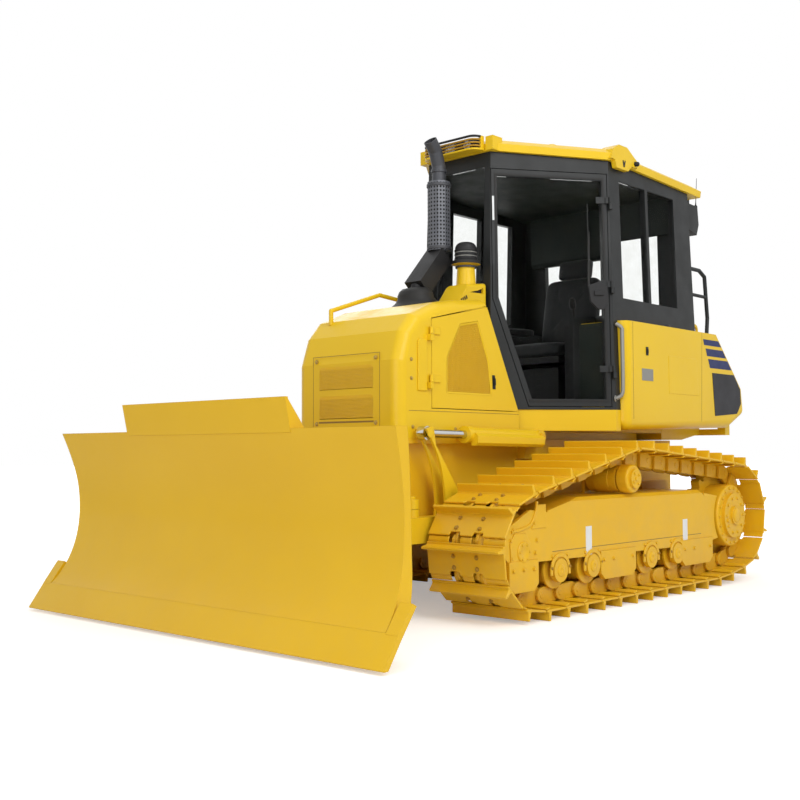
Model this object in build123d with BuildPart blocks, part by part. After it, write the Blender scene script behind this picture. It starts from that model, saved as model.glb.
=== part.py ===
"""A small crawler bulldozer with a power angle and tilt blade, as separate pieces with real joints.

X runs forward, Y to the machine's left and Z up, in millimetres, from the ground below the
middle of the machine. Left-hand pieces are modelled and their right-hand twins mirrored.
"""
from build123d import *
import math
import os

os.makedirs("parts", exist_ok=True)

# Overall stations
edge_x = 2250.0            # cutting edge, the foremost point
rear_x = -2250.0           # rear guard, the rearmost point

# Undercarriage
gauge = 1600.0             # between the track centre lines
shoe_width = 500.0
shoe_thick = 12.0
grouser = 48.0             # height of the lug above the shoe
lug_root = 34.0
lug_tip = 14.0
shoe_count = 37
shoe_phase = 0.6           # where the first pin stands, in links
link_half = 45.0           # rail height each side of the pin line
rail_width = 38.0
rail_offset = 75.0         # rail centre from the track centre line
idler_x = 764.0
idler_pin_r = 250.0
sprocket_x = -1600.0
sprocket_z = 440.0
sprocket_pin_r = 290.0
sprocket_teeth = 21
carrier_x = -300.0
carrier_r = 84.0
carrier_z = 713.0
carrier_out = 200.0        # end of the carrier roller outside the track centre line
roller_r = 85.0
roller_first_x = 430.0
roller_last_x = -1190.0
bend_x = -1300.0            # where the chain leaves the ground towards the sprocket
roller_count = 6
run_gap = 0.3              # running gap between chain and wheels
beam_width = 300.0         # track frame box
beam_low = 345.0
skirt_front = (885.0, 299.0)   # lower edge of the side plates
skirt_rear = (-1214.0, 270.0)
guard_low = 150.0          # lower edge of the roller guards
guard_span = ((895.0, 640.0), (30.0, -350.0), (-915.0, -1330.0))
plate_thick = 20.0         # side plates of the track frame
collar_r = 64.0            # round bosses at the roller ends
beam_top = 622.0
beam_front_x = 540.0
beam_rear_x = -1275.0
hull_half = 350.0
hull_low = 395.0
hull_top = 950.0
hull_front_x = 1085.0
hull_rear_x = -1900.0
cross_x = (-150.0, -1000.0)   # cross beams that carry the track frames
cross_size = 150.0

# Push frame, yoke and blade
pin_gap = 0.05             # radial running gap at a pin
side_gap = 2.0             # gap beside an eye
arm_y = 465.0
arm_width = 106.0
pivot_x = 150.0
pivot_z = 470.0
pivot_r = 40.0
arm_low = 395.0
arm_top = 530.0
beam_x = 1290.0
beam_depth = 110.0
king_x = 1700.0
king_r = 38.0
king_z = 450.0
hub_r = 72.0
hub_high = 90.0
fork_thick = 42.0
yoke_rear_x = 1745.0
yoke_front_x = 1845.0
yoke_half = 470.0
yoke_low = 372.0
yoke_top = 528.0
tilt_r = 50.0
tilt_len = 92.0
lift_pin_x = 980.0
lift_pin_z = 975.0
ear_foot = (640.0, 860.0)  # lift ears on the push arms, leaning forward to the pin
lift_base_x = -70.0
lift_base_z = 961.0
lift_bore = 42.0
lift_rod_r = 24.0
eye_width = 50.0
angle_base_x = 1085.0
angle_pin_x = 1775.0
angle_pin_y = 400.0
angle_z = 600.0
angle_bore = 40.0
angle_rod_r = 23.0
tilt_base_y = -300.0
tilt_pin_y = 350.0
tilt_z = 780.0
tilt_cyl_x = 1905.0
tilt_bore = 36.0
tilt_rod_r = 20.0
blade_gap = 15.0           # under the cutting edge at rest
blade_top = 984.0
blade_half = 1283.0
blade_skin = 24.0
end_waist = 37.0           # how far the ends curve in at half height
end_plate = 26.0
edge_over = 72.0           # end bits beyond the skin's ends
edge_half = blade_half + edge_over
guard_half = 640.0
guard_top = 1126.0

# Hood and engine
hood_half = 400.0
hood_wall = 25.0
hood_front_x = 1110.0
hood_low = 950.0
hood_corner = 66.0
hood_rear_low = (36.0, 1105.0)
hood_rear_top = (365.0, 1765.0)
cowl_y = (72.0, 238.0)     # raised cowl that carries the air pre-cleaner
cowl_top = ((312.0, 1878.0), (146.0, 1898.0))
louvre_z = (1115.0, 1280.0)
door_front_x = 843.0
door_low = 1112.0
door_gap = 4.0
hinge_out = 15.0           # hinge line beside the panel
hinge_z = (1255.0, 1520.0)   # above the sweep of the lift ears

# Cab
cab_front_x = 150.0
cab_front_y = 273.0
cab_side_y = 745.0
cab_b_x = -505.0
cab_rear_x = -1600.0
cab_low = 1130.0
cab_top = 2720.0
cab_lean = 1.7
cab_wall = 45.0
roof_top = 2800.0
sill_z = 1840.0
side_panes = ((-640.0, -964.0), (-996.0, -1345.0))   # front and back edges of the side windows
roof_drop = 58.0           # fall of the roof from front to rear
roof_rear_x = -1711.0
tank_y = 790.0
tank_in_y = 445.0
tank_front_x = -558.0
tank_top = 1690.0


def belt_points(circles, count, phase):
    """Evenly spaced pin centres on a belt drawn tight round circles listed front, top, rear, bottom."""
    runs = []
    n = len(circles)
    normals = []
    for i in range(n):
        (x1, z1, r1), (x2, z2, r2) = circles[i], circles[(i + 1) % n]
        away = math.atan2(z2 - z1, x2 - x1)
        normals.append(away - math.acos((r1 - r2) / math.hypot(x2 - x1, z2 - z1)))
    for i in range(n):
        x, z, r = circles[i]
        start = normals[i - 1]
        turn = (normals[i] - start) % (2 * math.pi)
        runs.append(("arc", x, z, r, start, turn, r * turn))
        x2, z2, r2 = circles[(i + 1) % n]
        a = normals[i]
        p = (x + r * math.cos(a), z + r * math.sin(a))
        q = (x2 + r2 * math.cos(a), z2 + r2 * math.sin(a))
        runs.append(("line", p, q, 0, 0, 0, math.dist(p, q)))
    total = sum(run[6] for run in runs)
    points = []
    for k in range(count):
        left = total * ((k + phase) % count) / count
        for run in runs:
            if left <= run[6]:
                break
            left -= run[6]
        if run[0] == "arc":
            a = run[4] + left / run[3]
            points.append((run[1] + run[3] * math.cos(a), run[2] + run[3] * math.sin(a)))
        else:
            t = left / run[6]
            points.append((run[1][0] + t * (run[2][0] - run[1][0]), run[1][1] + t * (run[2][1] - run[1][1])))
    return points


def along(points, spots):
    """Place (share of the link, distance, height) spots on every link of a closed chain."""
    out = []
    n = len(points)
    for i in range(n):
        (x1, z1), (x2, z2) = points[i], points[(i + 1) % n]
        pitch = math.dist(points[i], points[(i + 1) % n])
        tx, tz = (x2 - x1) / pitch, (z2 - z1) / pitch
        for share, shift, height in spots:
            s = share * pitch + shift
            out.append((x1 + tx * s + tz * height, z1 + tz * s - tx * height))
    return out


stack = link_half + shoe_thick + grouser
idler_z = idler_pin_r + stack
ground_pin_z = stack
roller_z = ground_pin_z + link_half + roller_r + run_gap
track_y = gauge / 2
side = Plane.XZ

# Tracks
pins = belt_points([(idler_x, idler_z, idler_pin_r),
                    (carrier_x, carrier_z, carrier_r + link_half),
                    (sprocket_x, sprocket_z, sprocket_pin_r),
                    (bend_x, ground_pin_z + roller_r + link_half, roller_r + link_half)], shoe_count, shoe_phase)
pitch = math.dist(pins[0], pins[1])
plate_out = link_half + shoe_thick
shoe_outline = along(pins, [(0, 3, plate_out), (1, -12 - lug_root, plate_out), (1, -2 - lug_root, plate_out + grouser),
                            (1, -2 - lug_root + lug_tip, plate_out + grouser), (1, -12, plate_out),
                            (1, -3, plate_out), (1, -1, link_half + 2)])
shoe_inside = along(pins, [(0, 2, link_half), (1, -2, link_half)])
rail_inside = along(pins, [(0, 28, -link_half), (1, -28, -link_half), (1, 0, -link_half + 22)])
with BuildPart() as track_left:
    with BuildSketch(side.offset(-track_y)):
        Polygon(*shoe_outline, align=None)
        Polygon(*shoe_inside, align=None, mode=Mode.SUBTRACT)
    extrude(amount=shoe_width / 2, both=True)
    for y in (track_y - rail_offset, track_y + rail_offset):
        with BuildSketch(side.offset(-y)):
            Polygon(*along(pins, [(0, 2, link_half + 1), (1, -2, link_half + 1)]), align=None)
            Polygon(*rail_inside, align=None, mode=Mode.SUBTRACT)
        extrude(amount=rail_width / 2, both=True)
track_left.part.label = "track_left"
export_step(track_left.part, "parts/track_left.step")
with BuildPart() as track_right:
    add(mirror(track_left.part, about=Plane.XZ))
track_right.part.label = "track_right"
export_step(track_right.part, "parts/track_right.step")

# Idlers
idler_tread = math.sqrt(idler_pin_r ** 2 - (pitch / 2) ** 2) - link_half - run_gap
with BuildPart() as idlers:
    for y in (track_y, -track_y):
        with BuildSketch(side.offset(-y)):
            with Locations((idler_x, idler_z)):
                Circle(idler_tread)
        extrude(amount=rail_offset + rail_width / 2 + 8, both=True)
        with BuildSketch(side.offset(-y)):
            with Locations((idler_x, idler_z)):
                Circle(idler_tread + 22)
        extrude(amount=rail_offset - rail_width / 2 - 8, both=True)
        with BuildSketch(side.offset(-y)):
            with Locations((idler_x, idler_z)):
                Circle(44)
        extrude(amount=beam_width / 2 + 6, both=True)
        for turn in (1, -1):
            with BuildSketch(side.offset(-y - turn * (rail_offset + rail_width / 2 + 8))):
                with Locations((idler_x, idler_z)):
                    Circle(idler_tread - 30)
                    Circle(85, mode=Mode.SUBTRACT)
            extrude(amount=turn * 30, mode=Mode.SUBTRACT)
idlers.part.label = "idlers"
export_step(idlers.part, "parts/idlers.step")

# Sprockets with their final drives
drive_steps = ((207.0, 168.0), (150.0, 190.0), (62.0, 203.0))   # radius and reach of each step of the cover
tooth = []
for k in range(sprocket_teeth):
    for share, r in ((-0.36, sprocket_pin_r - 24), (-0.14, sprocket_pin_r + 12), (0.14, sprocket_pin_r + 12),
                     (0.36, sprocket_pin_r - 24)):
        a = 2 * math.pi * (k + share) / sprocket_teeth
        tooth.append((sprocket_x + r * math.cos(a), sprocket_z + r * math.sin(a)))
with BuildPart() as sprockets:
    for y, out in ((track_y, -1), (-track_y, 1)):
        with BuildSketch(side.offset(-y)):
            Polygon(*tooth, align=None)
        extrude(amount=30, both=True)
        start = 0.0
        for r, reach in drive_steps:
            with BuildSketch(side.offset(-y + out * start)):
                with Locations((sprocket_x, sprocket_z)):
                    Circle(r)
            extrude(amount=out * (reach - start))
            start = reach
        with BuildSketch(side.offset(-y)):
            with Locations((sprocket_x, sprocket_z)):
                Circle(165)
        extrude(amount=-out * (track_y - hull_half - 38))
    fillet(sprockets.edges().filter_by(GeomType.CIRCLE).filter_by(lambda e: abs(e.radius - drive_steps[0][0]) < 1
           and abs(abs(e.center().Y) - track_y - drive_steps[0][1]) < 1), 14)
sprockets.part.label = "final_drives"
export_step(sprockets.part, "parts/final_drives.step")

# Track and carrier rollers
roller_xs = [roller_first_x + (roller_last_x - roller_first_x) * k / (roller_count - 1) for k in range(roller_count)]
with BuildPart() as rollers:
    for y in (track_y, -track_y):
        for x in roller_xs:
            with BuildSketch(side.offset(-y)):
                with Locations((x, roller_z)):
                    Circle(roller_r)
            extrude(amount=rail_offset + rail_width / 2 + 5, both=True)
            with BuildSketch(side.offset(-y)):
                with Locations((x, roller_z)):
                    Circle(42)
            extrude(amount=beam_width / 2 + 4, both=True)
            for turn in (1, -1):
                with BuildSketch(side.offset(-y - turn * (rail_offset + rail_width / 2 + 5))):
                    with Locations((x, roller_z)):
                        Circle(roller_r + 16)
                extrude(amount=-turn * 14)
rollers.part.label = "track_rollers"
export_step(rollers.part, "parts/track_rollers.step")
carrier_tread = min(math.dist(p, (carrier_x, carrier_z))
                    for p in along(pins, [(k / 20, 0, -link_half) for k in range(21)])) - run_gap
with BuildPart() as carriers:
    for y, out in ((track_y, -1), (-track_y, 1)):
        with BuildSketch(side.offset(-y)):
            with Locations((carrier_x, carrier_z)):
                Circle(carrier_tread)
        extrude(amount=rail_offset + rail_width / 2 + 6, both=True)
        with BuildSketch(side.offset(-y)):
            with Locations((carrier_x, carrier_z)):
                Circle(carrier_r - run_gap)
        extrude(amount=rail_offset - rail_width / 2 - 8, both=True)
        with BuildSketch(side.offset(-y + out * 112)):
            with Locations((carrier_x, carrier_z)):
                Circle(carrier_r)
        extrude(amount=out * (carrier_out - 112 - 16))
        with BuildSketch(side.offset(-y)):
            with Locations((carrier_x, carrier_z)):
                Circle(carrier_r * 0.68)
        extrude(amount=out * carrier_out)
        with BuildSketch(side.offset(-y)):
            with Locations((carrier_x, carrier_z)):
                Circle(30)
        extrude(amount=-out * 140)
    fillet(carriers.edges().filter_by(GeomType.CIRCLE).filter_by(lambda e: abs(e.radius - carrier_r) < 0.01
           and abs(abs(e.center().Y) - track_y - carrier_out + 16) < 1), 14)
carriers.part.label = "carrier_rollers"
export_step(carriers.part, "parts/carrier_rollers.step")

# Track frames
beam_out = track_y + beam_width / 2
beam_in = track_y - beam_width / 2
with BuildPart() as track_frame_left:
    with BuildSketch(side.offset(-track_y)):
        Polygon((beam_front_x, beam_low), (beam_front_x, beam_top - 62), (beam_front_x - 310, beam_top),
                (beam_rear_x + 90, beam_top), (beam_rear_x, beam_top - 70), (beam_rear_x, beam_low), align=None)
    extrude(amount=beam_width / 2, both=True)
    chamfer(track_frame_left.edges().filter_by(Axis.X).group_by(Axis.Z)[-1].group_by(Axis.Y)[-1], 20)
    for face, way in ((beam_out, 1), (beam_in, -1)):
        with BuildSketch(side.offset(-face)):
            Polygon(skirt_front, (idler_x + 163, idler_z - 10), (idler_x + 144, idler_z + 123),
                    (idler_x - 65, idler_z + 215), (beam_front_x - 20, beam_top - 72), (beam_front_x - 60, beam_low + 60),
                    (beam_rear_x + 60, beam_low + 60), (beam_rear_x + 35, beam_top - 22),
                    (beam_rear_x - 155, beam_top - 47), (beam_rear_x - 155, skirt_rear[1] + 30), skirt_rear, align=None)
            with Locations((sprocket_x, sprocket_z)):
                Circle(drive_steps[0][0] + 15, mode=Mode.SUBTRACT)
            with Locations((idler_x, idler_z)):
                Circle(44 + pin_gap, mode=Mode.SUBTRACT)
        extrude(amount=way * plate_thick)
        with BuildSketch(side.offset(-face + way * plate_thick)):
            for front, back in guard_span:
                Polygon((front, skirt_front[1] + 12), (front, guard_low + 35), (front - 40, guard_low),
                        (back + 40, guard_low), (back, guard_low + 35), (back, skirt_front[1] + 12), align=None)
            for x in roller_xs:
                with Locations((x, roller_z)):
                    Circle(collar_r)
        extrude(amount=-way * (plate_thick + 10))
        for x in roller_xs:
            with BuildSketch(side.offset(-face + way * (plate_thick + 2))):
                with Locations((x, roller_z)):
                    Circle(42 + pin_gap)
            extrude(amount=-way * (plate_thick + 7), mode=Mode.SUBTRACT)
    with BuildSketch(side.offset(-beam_in - 3)):
        Polygon((carrier_x - 55, beam_top - 5), (carrier_x + 55, beam_top - 5), (carrier_x + 45, carrier_z + 40),
                (carrier_x - 45, carrier_z + 40), align=None)
        with Locations((carrier_x, carrier_z)):
            Circle(30 + pin_gap, mode=Mode.SUBTRACT)
    extrude(amount=-24)
track_frame_left.part.label = "track_frame_left"
export_step(track_frame_left.part, "parts/track_frame_left.step")
with BuildPart() as track_frame_right:
    add(mirror(track_frame_left.part, about=Plane.XZ))
track_frame_right.part.label = "track_frame_right"
export_step(track_frame_right.part, "parts/track_frame_right.step")

# Main frame with the cross beams and the pins of the push frame and lift cylinders
with BuildPart() as main_frame:
    with BuildSketch(side):
        Polygon((hull_front_x, hull_top), (hull_front_x, 640), (hull_front_x - 130, hull_low + 40),
                (hull_front_x - 260, hull_low), (hull_rear_x + 200, hull_low), (hull_rear_x, hull_low + 160),
                (hull_rear_x, hull_top), align=None)
    extrude(amount=hull_half, both=True)
    for x in cross_x:
        with Locations((x, 0, beam_low + cross_size / 2 + 60)):
            Box(cross_size, 2 * beam_in, cross_size)
    with Locations(((hood_rear_low[0] + hull_front_x) / 2, 0, hull_top - 15)):
        Box(hull_front_x - hood_rear_low[0], 2 * hood_half, 30)
    for turn in (1, -1):
        with BuildSketch(side.offset(-turn * (hull_half - 10))):
            with Locations((pivot_x, pivot_z)):
                Circle(pivot_r)
        extrude(amount=-turn * (arm_y + arm_width / 2 + 12 - hull_half + 10))
        with BuildSketch(side.offset(-turn * hull_half)):
            with Locations((lift_base_x, lift_base_z)):
                Circle(22)
        extrude(amount=-turn * (arm_y + eye_width / 2 + 16 - hull_half))
        with BuildSketch(side.offset(-turn * (hull_half - 5))):
            Polygon((lift_base_x - 70, hull_top - 120), (lift_base_x + 70, hull_top - 120),
                    (lift_base_x + 38, lift_base_z + 36), (lift_base_x - 38, lift_base_z + 36), align=None)
        extrude(amount=-turn * (arm_y - lift_bore - 12 - hull_half + 5))
        with BuildSketch(side.offset(-turn * hull_half)):
            with Locations((sprocket_x, sprocket_z + 60)):
                Rectangle(360, 330)
        extrude(amount=-turn * 38)
main_frame.part.label = "main_frame"
export_step(main_frame.part, "parts/main_frame.step")

# Drawbar at the rear
with BuildPart() as drawbar:
    with Locations(((hull_rear_x + rear_x) / 2 - 5, 0, 560)):
        Box(hull_rear_x - rear_x - 10, 240, 70)
    with Locations((rear_x + 80, 0, 560)):
        Cylinder(23, 200, mode=Mode.SUBTRACT)
    with Locations((hull_rear_x - 15, 0, 600)):
        Box(30, 420, 260)
    with Locations(*[Location((hull_rear_x - 15, y, z), (0, 90, 0)) for y in (-160, 160) for z in (510, 690)]):
        Cylinder(11, 80, mode=Mode.SUBTRACT)
drawbar.part.label = "drawbar"
export_step(drawbar.part, "parts/drawbar.step")

# Push frame: two arms inside the tracks, a cross beam and a forked nose
nose_top = king_z + hub_high / 2 + side_gap / 2
with BuildPart() as push_frame:
    for y in (arm_y, -arm_y):
        with BuildSketch(side.offset(-y)):
            with BuildLine():
                Polyline((pivot_x - 20, arm_low), (beam_x + beam_depth, arm_low), (beam_x + beam_depth, arm_top),
                         (pivot_x - 20, arm_top))
                ThreePointArc((pivot_x - 20, arm_top), (pivot_x - 88, (arm_low + arm_top) / 2), (pivot_x - 20, arm_low))
            make_face()
            with Locations((pivot_x, pivot_z)):
                Circle(pivot_r + pin_gap, mode=Mode.SUBTRACT)
        extrude(amount=arm_width / 2, both=True)
        for ear in (y - eye_width / 2 - side_gap - 14, y + eye_width / 2 + side_gap):
            with BuildSketch(side.offset(-ear)):
                with BuildLine():
                    Polyline((lift_pin_x + 30, lift_pin_z + 20), (lift_pin_x - 30, lift_pin_z + 38),
                             (lift_pin_x - 50, lift_pin_z - 64), (ear_foot[0], arm_top - 5), (ear_foot[1], arm_top - 5))
                    ThreePointArc((ear_foot[1], arm_top - 5), (lift_pin_x - 100, lift_pin_z - 209),
                                  (lift_pin_x + 30, lift_pin_z + 20))
                make_face()
            extrude(amount=-14)
        for cap, way in ((y - eye_width / 2 - side_gap - 14, 1), (y + eye_width / 2 + side_gap + 14, -1)):
            with BuildSketch(side.offset(-cap)):
                with Locations((lift_pin_x, lift_pin_z)):
                    Circle(24)
            extrude(amount=way * 6)
        with BuildSketch(Plane.XY.offset(arm_top - 5)):
            with Locations((angle_base_x, y)):
                Circle(40)
        extrude(amount=angle_z - eye_width / 2 - side_gap - arm_top + 5)
        with BuildSketch(Plane.XY.offset(arm_top - 5)):
            with Locations((angle_base_x, y)):
                Circle(22)
        extrude(amount=angle_z + eye_width / 2 + 16 - arm_top + 5)
    with Locations((beam_x + beam_depth / 2, 0, (arm_low + arm_top) / 2)):
        Box(beam_depth, 2 * arm_y, arm_top - arm_low)
    for z in (nose_top, king_z - hub_high / 2 - side_gap / 2 - fork_thick):
        with BuildSketch(Plane.XY.offset(z)):
            Polygon((beam_x + 30, 330), (king_x, 80), (king_x, -80), (beam_x + 30, -330), align=None)
            with Locations((king_x, 0)):
                Circle(80)
        extrude(amount=fork_thick)
    with BuildSketch(Plane.XY.offset(arm_low)):
        Polygon((beam_x + 40, 320), (king_x - 190, 185), (king_x - 190, -185), (beam_x + 40, -320), align=None)
    extrude(amount=arm_top - arm_low)
    with BuildSketch(Plane.XY.offset(king_z - hub_high / 2 - fork_thick)):
        with Locations((king_x, 0)):
            Circle(king_r)
    extrude(amount=hub_high + 2 * fork_thick)
push_frame.part.label = "push_frame"
export_step(push_frame.part, "parts/push_frame.step")

# Yoke that carries the blade: turns on the upright pin and holds the tilt pin
eye_low = angle_z - eye_width / 2
eye_high = angle_z + eye_width / 2
with BuildPart() as blade_yoke:
    with BuildSketch(Plane.XY.offset(king_z - hub_high / 2)):
        with Locations((king_x, 0)):
            Circle(hub_r)
        with Locations(((king_x + yoke_rear_x + 20) / 2, 0)):
            Rectangle(yoke_rear_x + 20 - king_x, 1.4 * hub_r)
        with Locations((king_x, 0)):
            Circle(king_r + pin_gap, mode=Mode.SUBTRACT)
    extrude(amount=hub_high)
    with BuildSketch(side):
        with Locations(((yoke_rear_x + 42 + yoke_front_x) / 2, (yoke_low + yoke_top) / 2)):
            Rectangle(yoke_front_x - yoke_rear_x - 42, yoke_top - yoke_low)
    extrude(amount=yoke_half, both=True)
    with BuildSketch(Plane.XY.offset(king_z - hub_high / 2)):
        with Locations(((yoke_rear_x + yoke_front_x) / 2, 0)):
            Rectangle(yoke_front_x - yoke_rear_x, 190)
    extrude(amount=hub_high)
    for y in (angle_pin_y, -angle_pin_y):
        with BuildSketch(Plane.XY.offset(yoke_top - 5)):
            with Locations((yoke_front_x - 7, y)):
                Rectangle(14, 92)
        extrude(amount=eye_high + 24 - yoke_top)
        for low, thick in ((eye_low - side_gap - 16, 16), (eye_high + side_gap, 16)):
            with BuildSketch(Plane.XY.offset(low)):
                with Locations((angle_pin_x, y)):
                    Circle(46)
                with Locations(((angle_pin_x + yoke_front_x - 1) / 2, y)):
                    Rectangle(yoke_front_x - 1 - angle_pin_x, 92)
            extrude(amount=thick)
        with BuildSketch(Plane.XY.offset(eye_high + side_gap + 16)):
            with Locations((angle_pin_x, y)):
                Circle(24)
        extrude(amount=6)
    with BuildSketch(Plane.YZ.offset(yoke_front_x - 42)):
        Polygon((tilt_base_y - 60, yoke_top - 5), (tilt_base_y + 110, yoke_top - 5), (tilt_base_y + 36, tilt_z + 36),
                (tilt_base_y - 36, tilt_z + 36), align=None)
    extrude(amount=42)
    with BuildSketch(Plane.YZ.offset(yoke_front_x - 2)):
        with Locations((tilt_base_y, tilt_z)):
            Circle(20)
    extrude(amount=tilt_cyl_x + eye_width / 2 + 14 - yoke_front_x)
    with BuildSketch(Plane.YZ.offset(yoke_front_x - 2)):
        with Locations((0, king_z)):
            Circle(tilt_r)
    extrude(amount=tilt_len)
blade_yoke.part.label = "blade_yoke"
export_step(blade_yoke.part, "parts/blade_yoke.step")

# Blade: curved skin, boxed back, end plates, spill guard, tilt boss and cylinder bracket
bit_low = blade_gap
front_curve = [(edge_x - 92, 150), (edge_x - 190, 286), (edge_x - 235, 434), (edge_x - 246, 571), (edge_x - 233, 725),
               (edge_x - 206, 832), (edge_x - 153, blade_top)]
back_curve = [(edge_x - 112, 134), (edge_x - 211, 274), (edge_x - 258, 428), (edge_x - 270, 571), (edge_x - 257, 731),
              (edge_x - 229, 843), (edge_x - 177, blade_top)]
end_curve = [(edge_x - 190, 134), (edge_x - 276, 290), (edge_x - 290, 430), (edge_x - 288, 600), (edge_x - 262, 845),
             (edge_x - 226, blade_top)]
end_low = 130.0
end_high = blade_top + 2
end_mid = (end_low + end_high) / 2
with BuildPart() as blade_ends:
    for way in (1, -1):
        with BuildSketch(side.offset(-way * (blade_half - 90))):
            with BuildLine():
                Spline(*front_curve)
                Line(front_curve[-1], end_curve[-1])
                Spline(*end_curve)
                Line(end_curve[0], front_curve[0])
            make_face()
        extrude(amount=-way * 95)
    with BuildSketch(Plane.YZ.offset(edge_x - 400)):
        for way in (1, -1):
            with BuildLine():
                ThreePointArc((way * blade_half, end_low), (way * (blade_half - end_waist), end_mid),
                              (way * blade_half, end_high))
                Line((way * blade_half, end_high), (way * (blade_half - end_plate), end_high))
                ThreePointArc((way * (blade_half - end_plate), end_high), (way * (blade_half - end_plate - end_waist), end_mid),
                              (way * (blade_half - end_plate), end_low))
                Line((way * (blade_half - end_plate), end_low), (way * blade_half, end_low))
            make_face()
    extrude(amount=400, mode=Mode.INTERSECT)
with BuildPart() as blade:
    with BuildSketch(side):
        with BuildLine():
            Spline(*front_curve)
            Line(front_curve[-1], back_curve[-1])
            Spline(*back_curve)
            Line(back_curve[0], front_curve[0])
        make_face()
    extrude(amount=blade_half, both=True)
    with BuildSketch(Plane.YZ.offset(edge_x - 400)):
        for way in (1, -1):
            with BuildLine():
                ThreePointArc((way * blade_half, end_low), (way * (blade_half - end_waist), end_mid),
                              (way * blade_half, end_high))
                Polyline((way * blade_half, end_high), (way * (blade_half + 20), end_high),
                         (way * (blade_half + 20), end_low), (way * blade_half, end_low))
            make_face()
    extrude(amount=400, mode=Mode.SUBTRACT)
    add(blade_ends.part)
    for y in (-760, 760):
        with BuildSketch(side.offset(-y)):
            with BuildLine():
                Spline(*back_curve)
                Polyline(back_curve[-1], (edge_x - 226, blade_top - 10), (edge_x - 345, 720), (edge_x - 345, 260),
                         (edge_x - 200, 140), back_curve[0])
            make_face()
        extrude(amount=10, both=True)
    with BuildSketch(side):
        Polygon((edge_x - 138, 172), (edge_x - 292, 292), (edge_x - 292, 205), (edge_x - 205, 132), (edge_x - 118, 132),
                align=None)
    extrude(amount=blade_half - end_plate - 15, both=True)
    with BuildSketch(side):
        Polygon((edge_x - 172, blade_top - 6), (edge_x - 262, blade_top - 30), (edge_x - 264, blade_top - 130),
                (edge_x - 222, blade_top - 146), align=None)
    extrude(amount=blade_half - end_plate - 20, both=True)
    with BuildSketch(side):
        Polygon((edge_x - 157, blade_top - 20), (edge_x - 122, guard_top), (edge_x - 140, guard_top),
                (edge_x - 176, blade_top - 20), align=None)
    extrude(amount=guard_half, both=True)
    for y in (-guard_half, -215, 200, guard_half - 15):
        with BuildSketch(side.offset(-y)):
            Polygon((edge_x - 168, blade_top - 12), (edge_x - 134, guard_top), (edge_x - 268, blade_top - 30), align=None)
        extrude(amount=-15)
    with BuildSketch(Plane.YZ.offset(yoke_front_x + 6)):
        with Locations((0, king_z)):
            Circle(105)
            Circle(tilt_r + pin_gap, mode=Mode.SUBTRACT)
    extrude(amount=138)
    for y in (-215, 200):
        with BuildSketch(side.offset(-y)):
            Polygon((edge_x - 246, 345), (edge_x - 395, 345), (edge_x - 395, 560), (edge_x - 258, 620), align=None)
        extrude(amount=-15)
    with BuildSketch(Plane.YZ.offset(yoke_front_x + 6)):
        with Locations((0, king_z)):
            Rectangle(430, 190)
            Circle(90, mode=Mode.SUBTRACT)
    extrude(amount=50)
    with BuildSketch(Plane.YZ.offset(tilt_cyl_x - eye_width / 2 - side_gap - 16)):
        with Locations((tilt_pin_y, tilt_z - 20)):
            Rectangle(90, 130)
    extrude(amount=16)
    with Locations((edge_x - 312, tilt_pin_y, tilt_z - 80)):
        Box(126, 90, 40)
blade.part.label = "blade"
export_step(blade.part, "parts/blade.step")

# Cutting edge in front of the skin's foot, with wider end bits
edge_plate = [(edge_x - 4, bit_low), (edge_x, bit_low + 4), front_curve[0], back_curve[0], (edge_x - 30, bit_low)]
with BuildPart() as cutting_edge:
    with BuildSketch(side):
        Polygon(*edge_plate, align=None)
    extrude(amount=edge_half, both=True)
    for y, way in ((edge_half, 1), (-edge_half, -1)):
        with BuildSketch(side.offset(-y)):
            Polygon((edge_x - 88, 146), (edge_x - 176, 265), (edge_x - 200, 252), (edge_x - 112, 134), align=None)
        extrude(amount=way * (edge_over - 0.5))
cutting_edge.part.label = "cutting_edge"
export_step(cutting_edge.part, "parts/cutting_edge.step")


# Lift cylinders
lift_len = math.hypot(lift_pin_x - lift_base_x, lift_pin_z - lift_base_z)
lift_axis = Plane(origin=(lift_base_x, arm_y, lift_base_z), x_dir=(0, 1, 0),
                  z_dir=(lift_pin_x - lift_base_x, 0, lift_pin_z - lift_base_z))
with BuildPart() as lift_barrel_left:
    with BuildSketch(lift_axis.offset(50)):
        Circle(lift_bore)
    extrude(amount=lift_len * 0.68 - 50)
    with BuildSketch(lift_axis.offset(25)):
        Circle(24)
    extrude(amount=30)
    with BuildSketch(lift_axis.offset(lift_len * 0.68)):
        Circle(lift_bore + 6)
    extrude(amount=-55)
    with BuildSketch(lift_axis.offset(35)):
        Polygon((25, 8), (58, 8), (73, -8), (73, -46), (58, -62), (25, -62), align=None)
    extrude(amount=lift_len * 0.68 - 70)
    with BuildSketch(side.offset(-arm_y)):
        with Locations((lift_base_x, lift_base_z)):
            Circle(44)
    extrude(amount=eye_width / 2, both=True)
    with BuildSketch(side.offset(-arm_y)):
        with Locations((lift_base_x, lift_base_z)):
            Circle(22 + pin_gap)
    extrude(amount=eye_width, both=True, mode=Mode.SUBTRACT)
    with BuildSketch(lift_axis.offset(80)):
        Circle(lift_rod_r + pin_gap)
    extrude(amount=lift_len, mode=Mode.SUBTRACT)
lift_barrel_left.part.label = "lift_barrel_left"
export_step(lift_barrel_left.part, "parts/lift_barrel_left.step")
with BuildPart() as lift_barrel_right:
    add(mirror(lift_barrel_left.part, about=Plane.XZ))
lift_barrel_right.part.label = "lift_barrel_right"
export_step(lift_barrel_right.part, "parts/lift_barrel_right.step")
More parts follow.
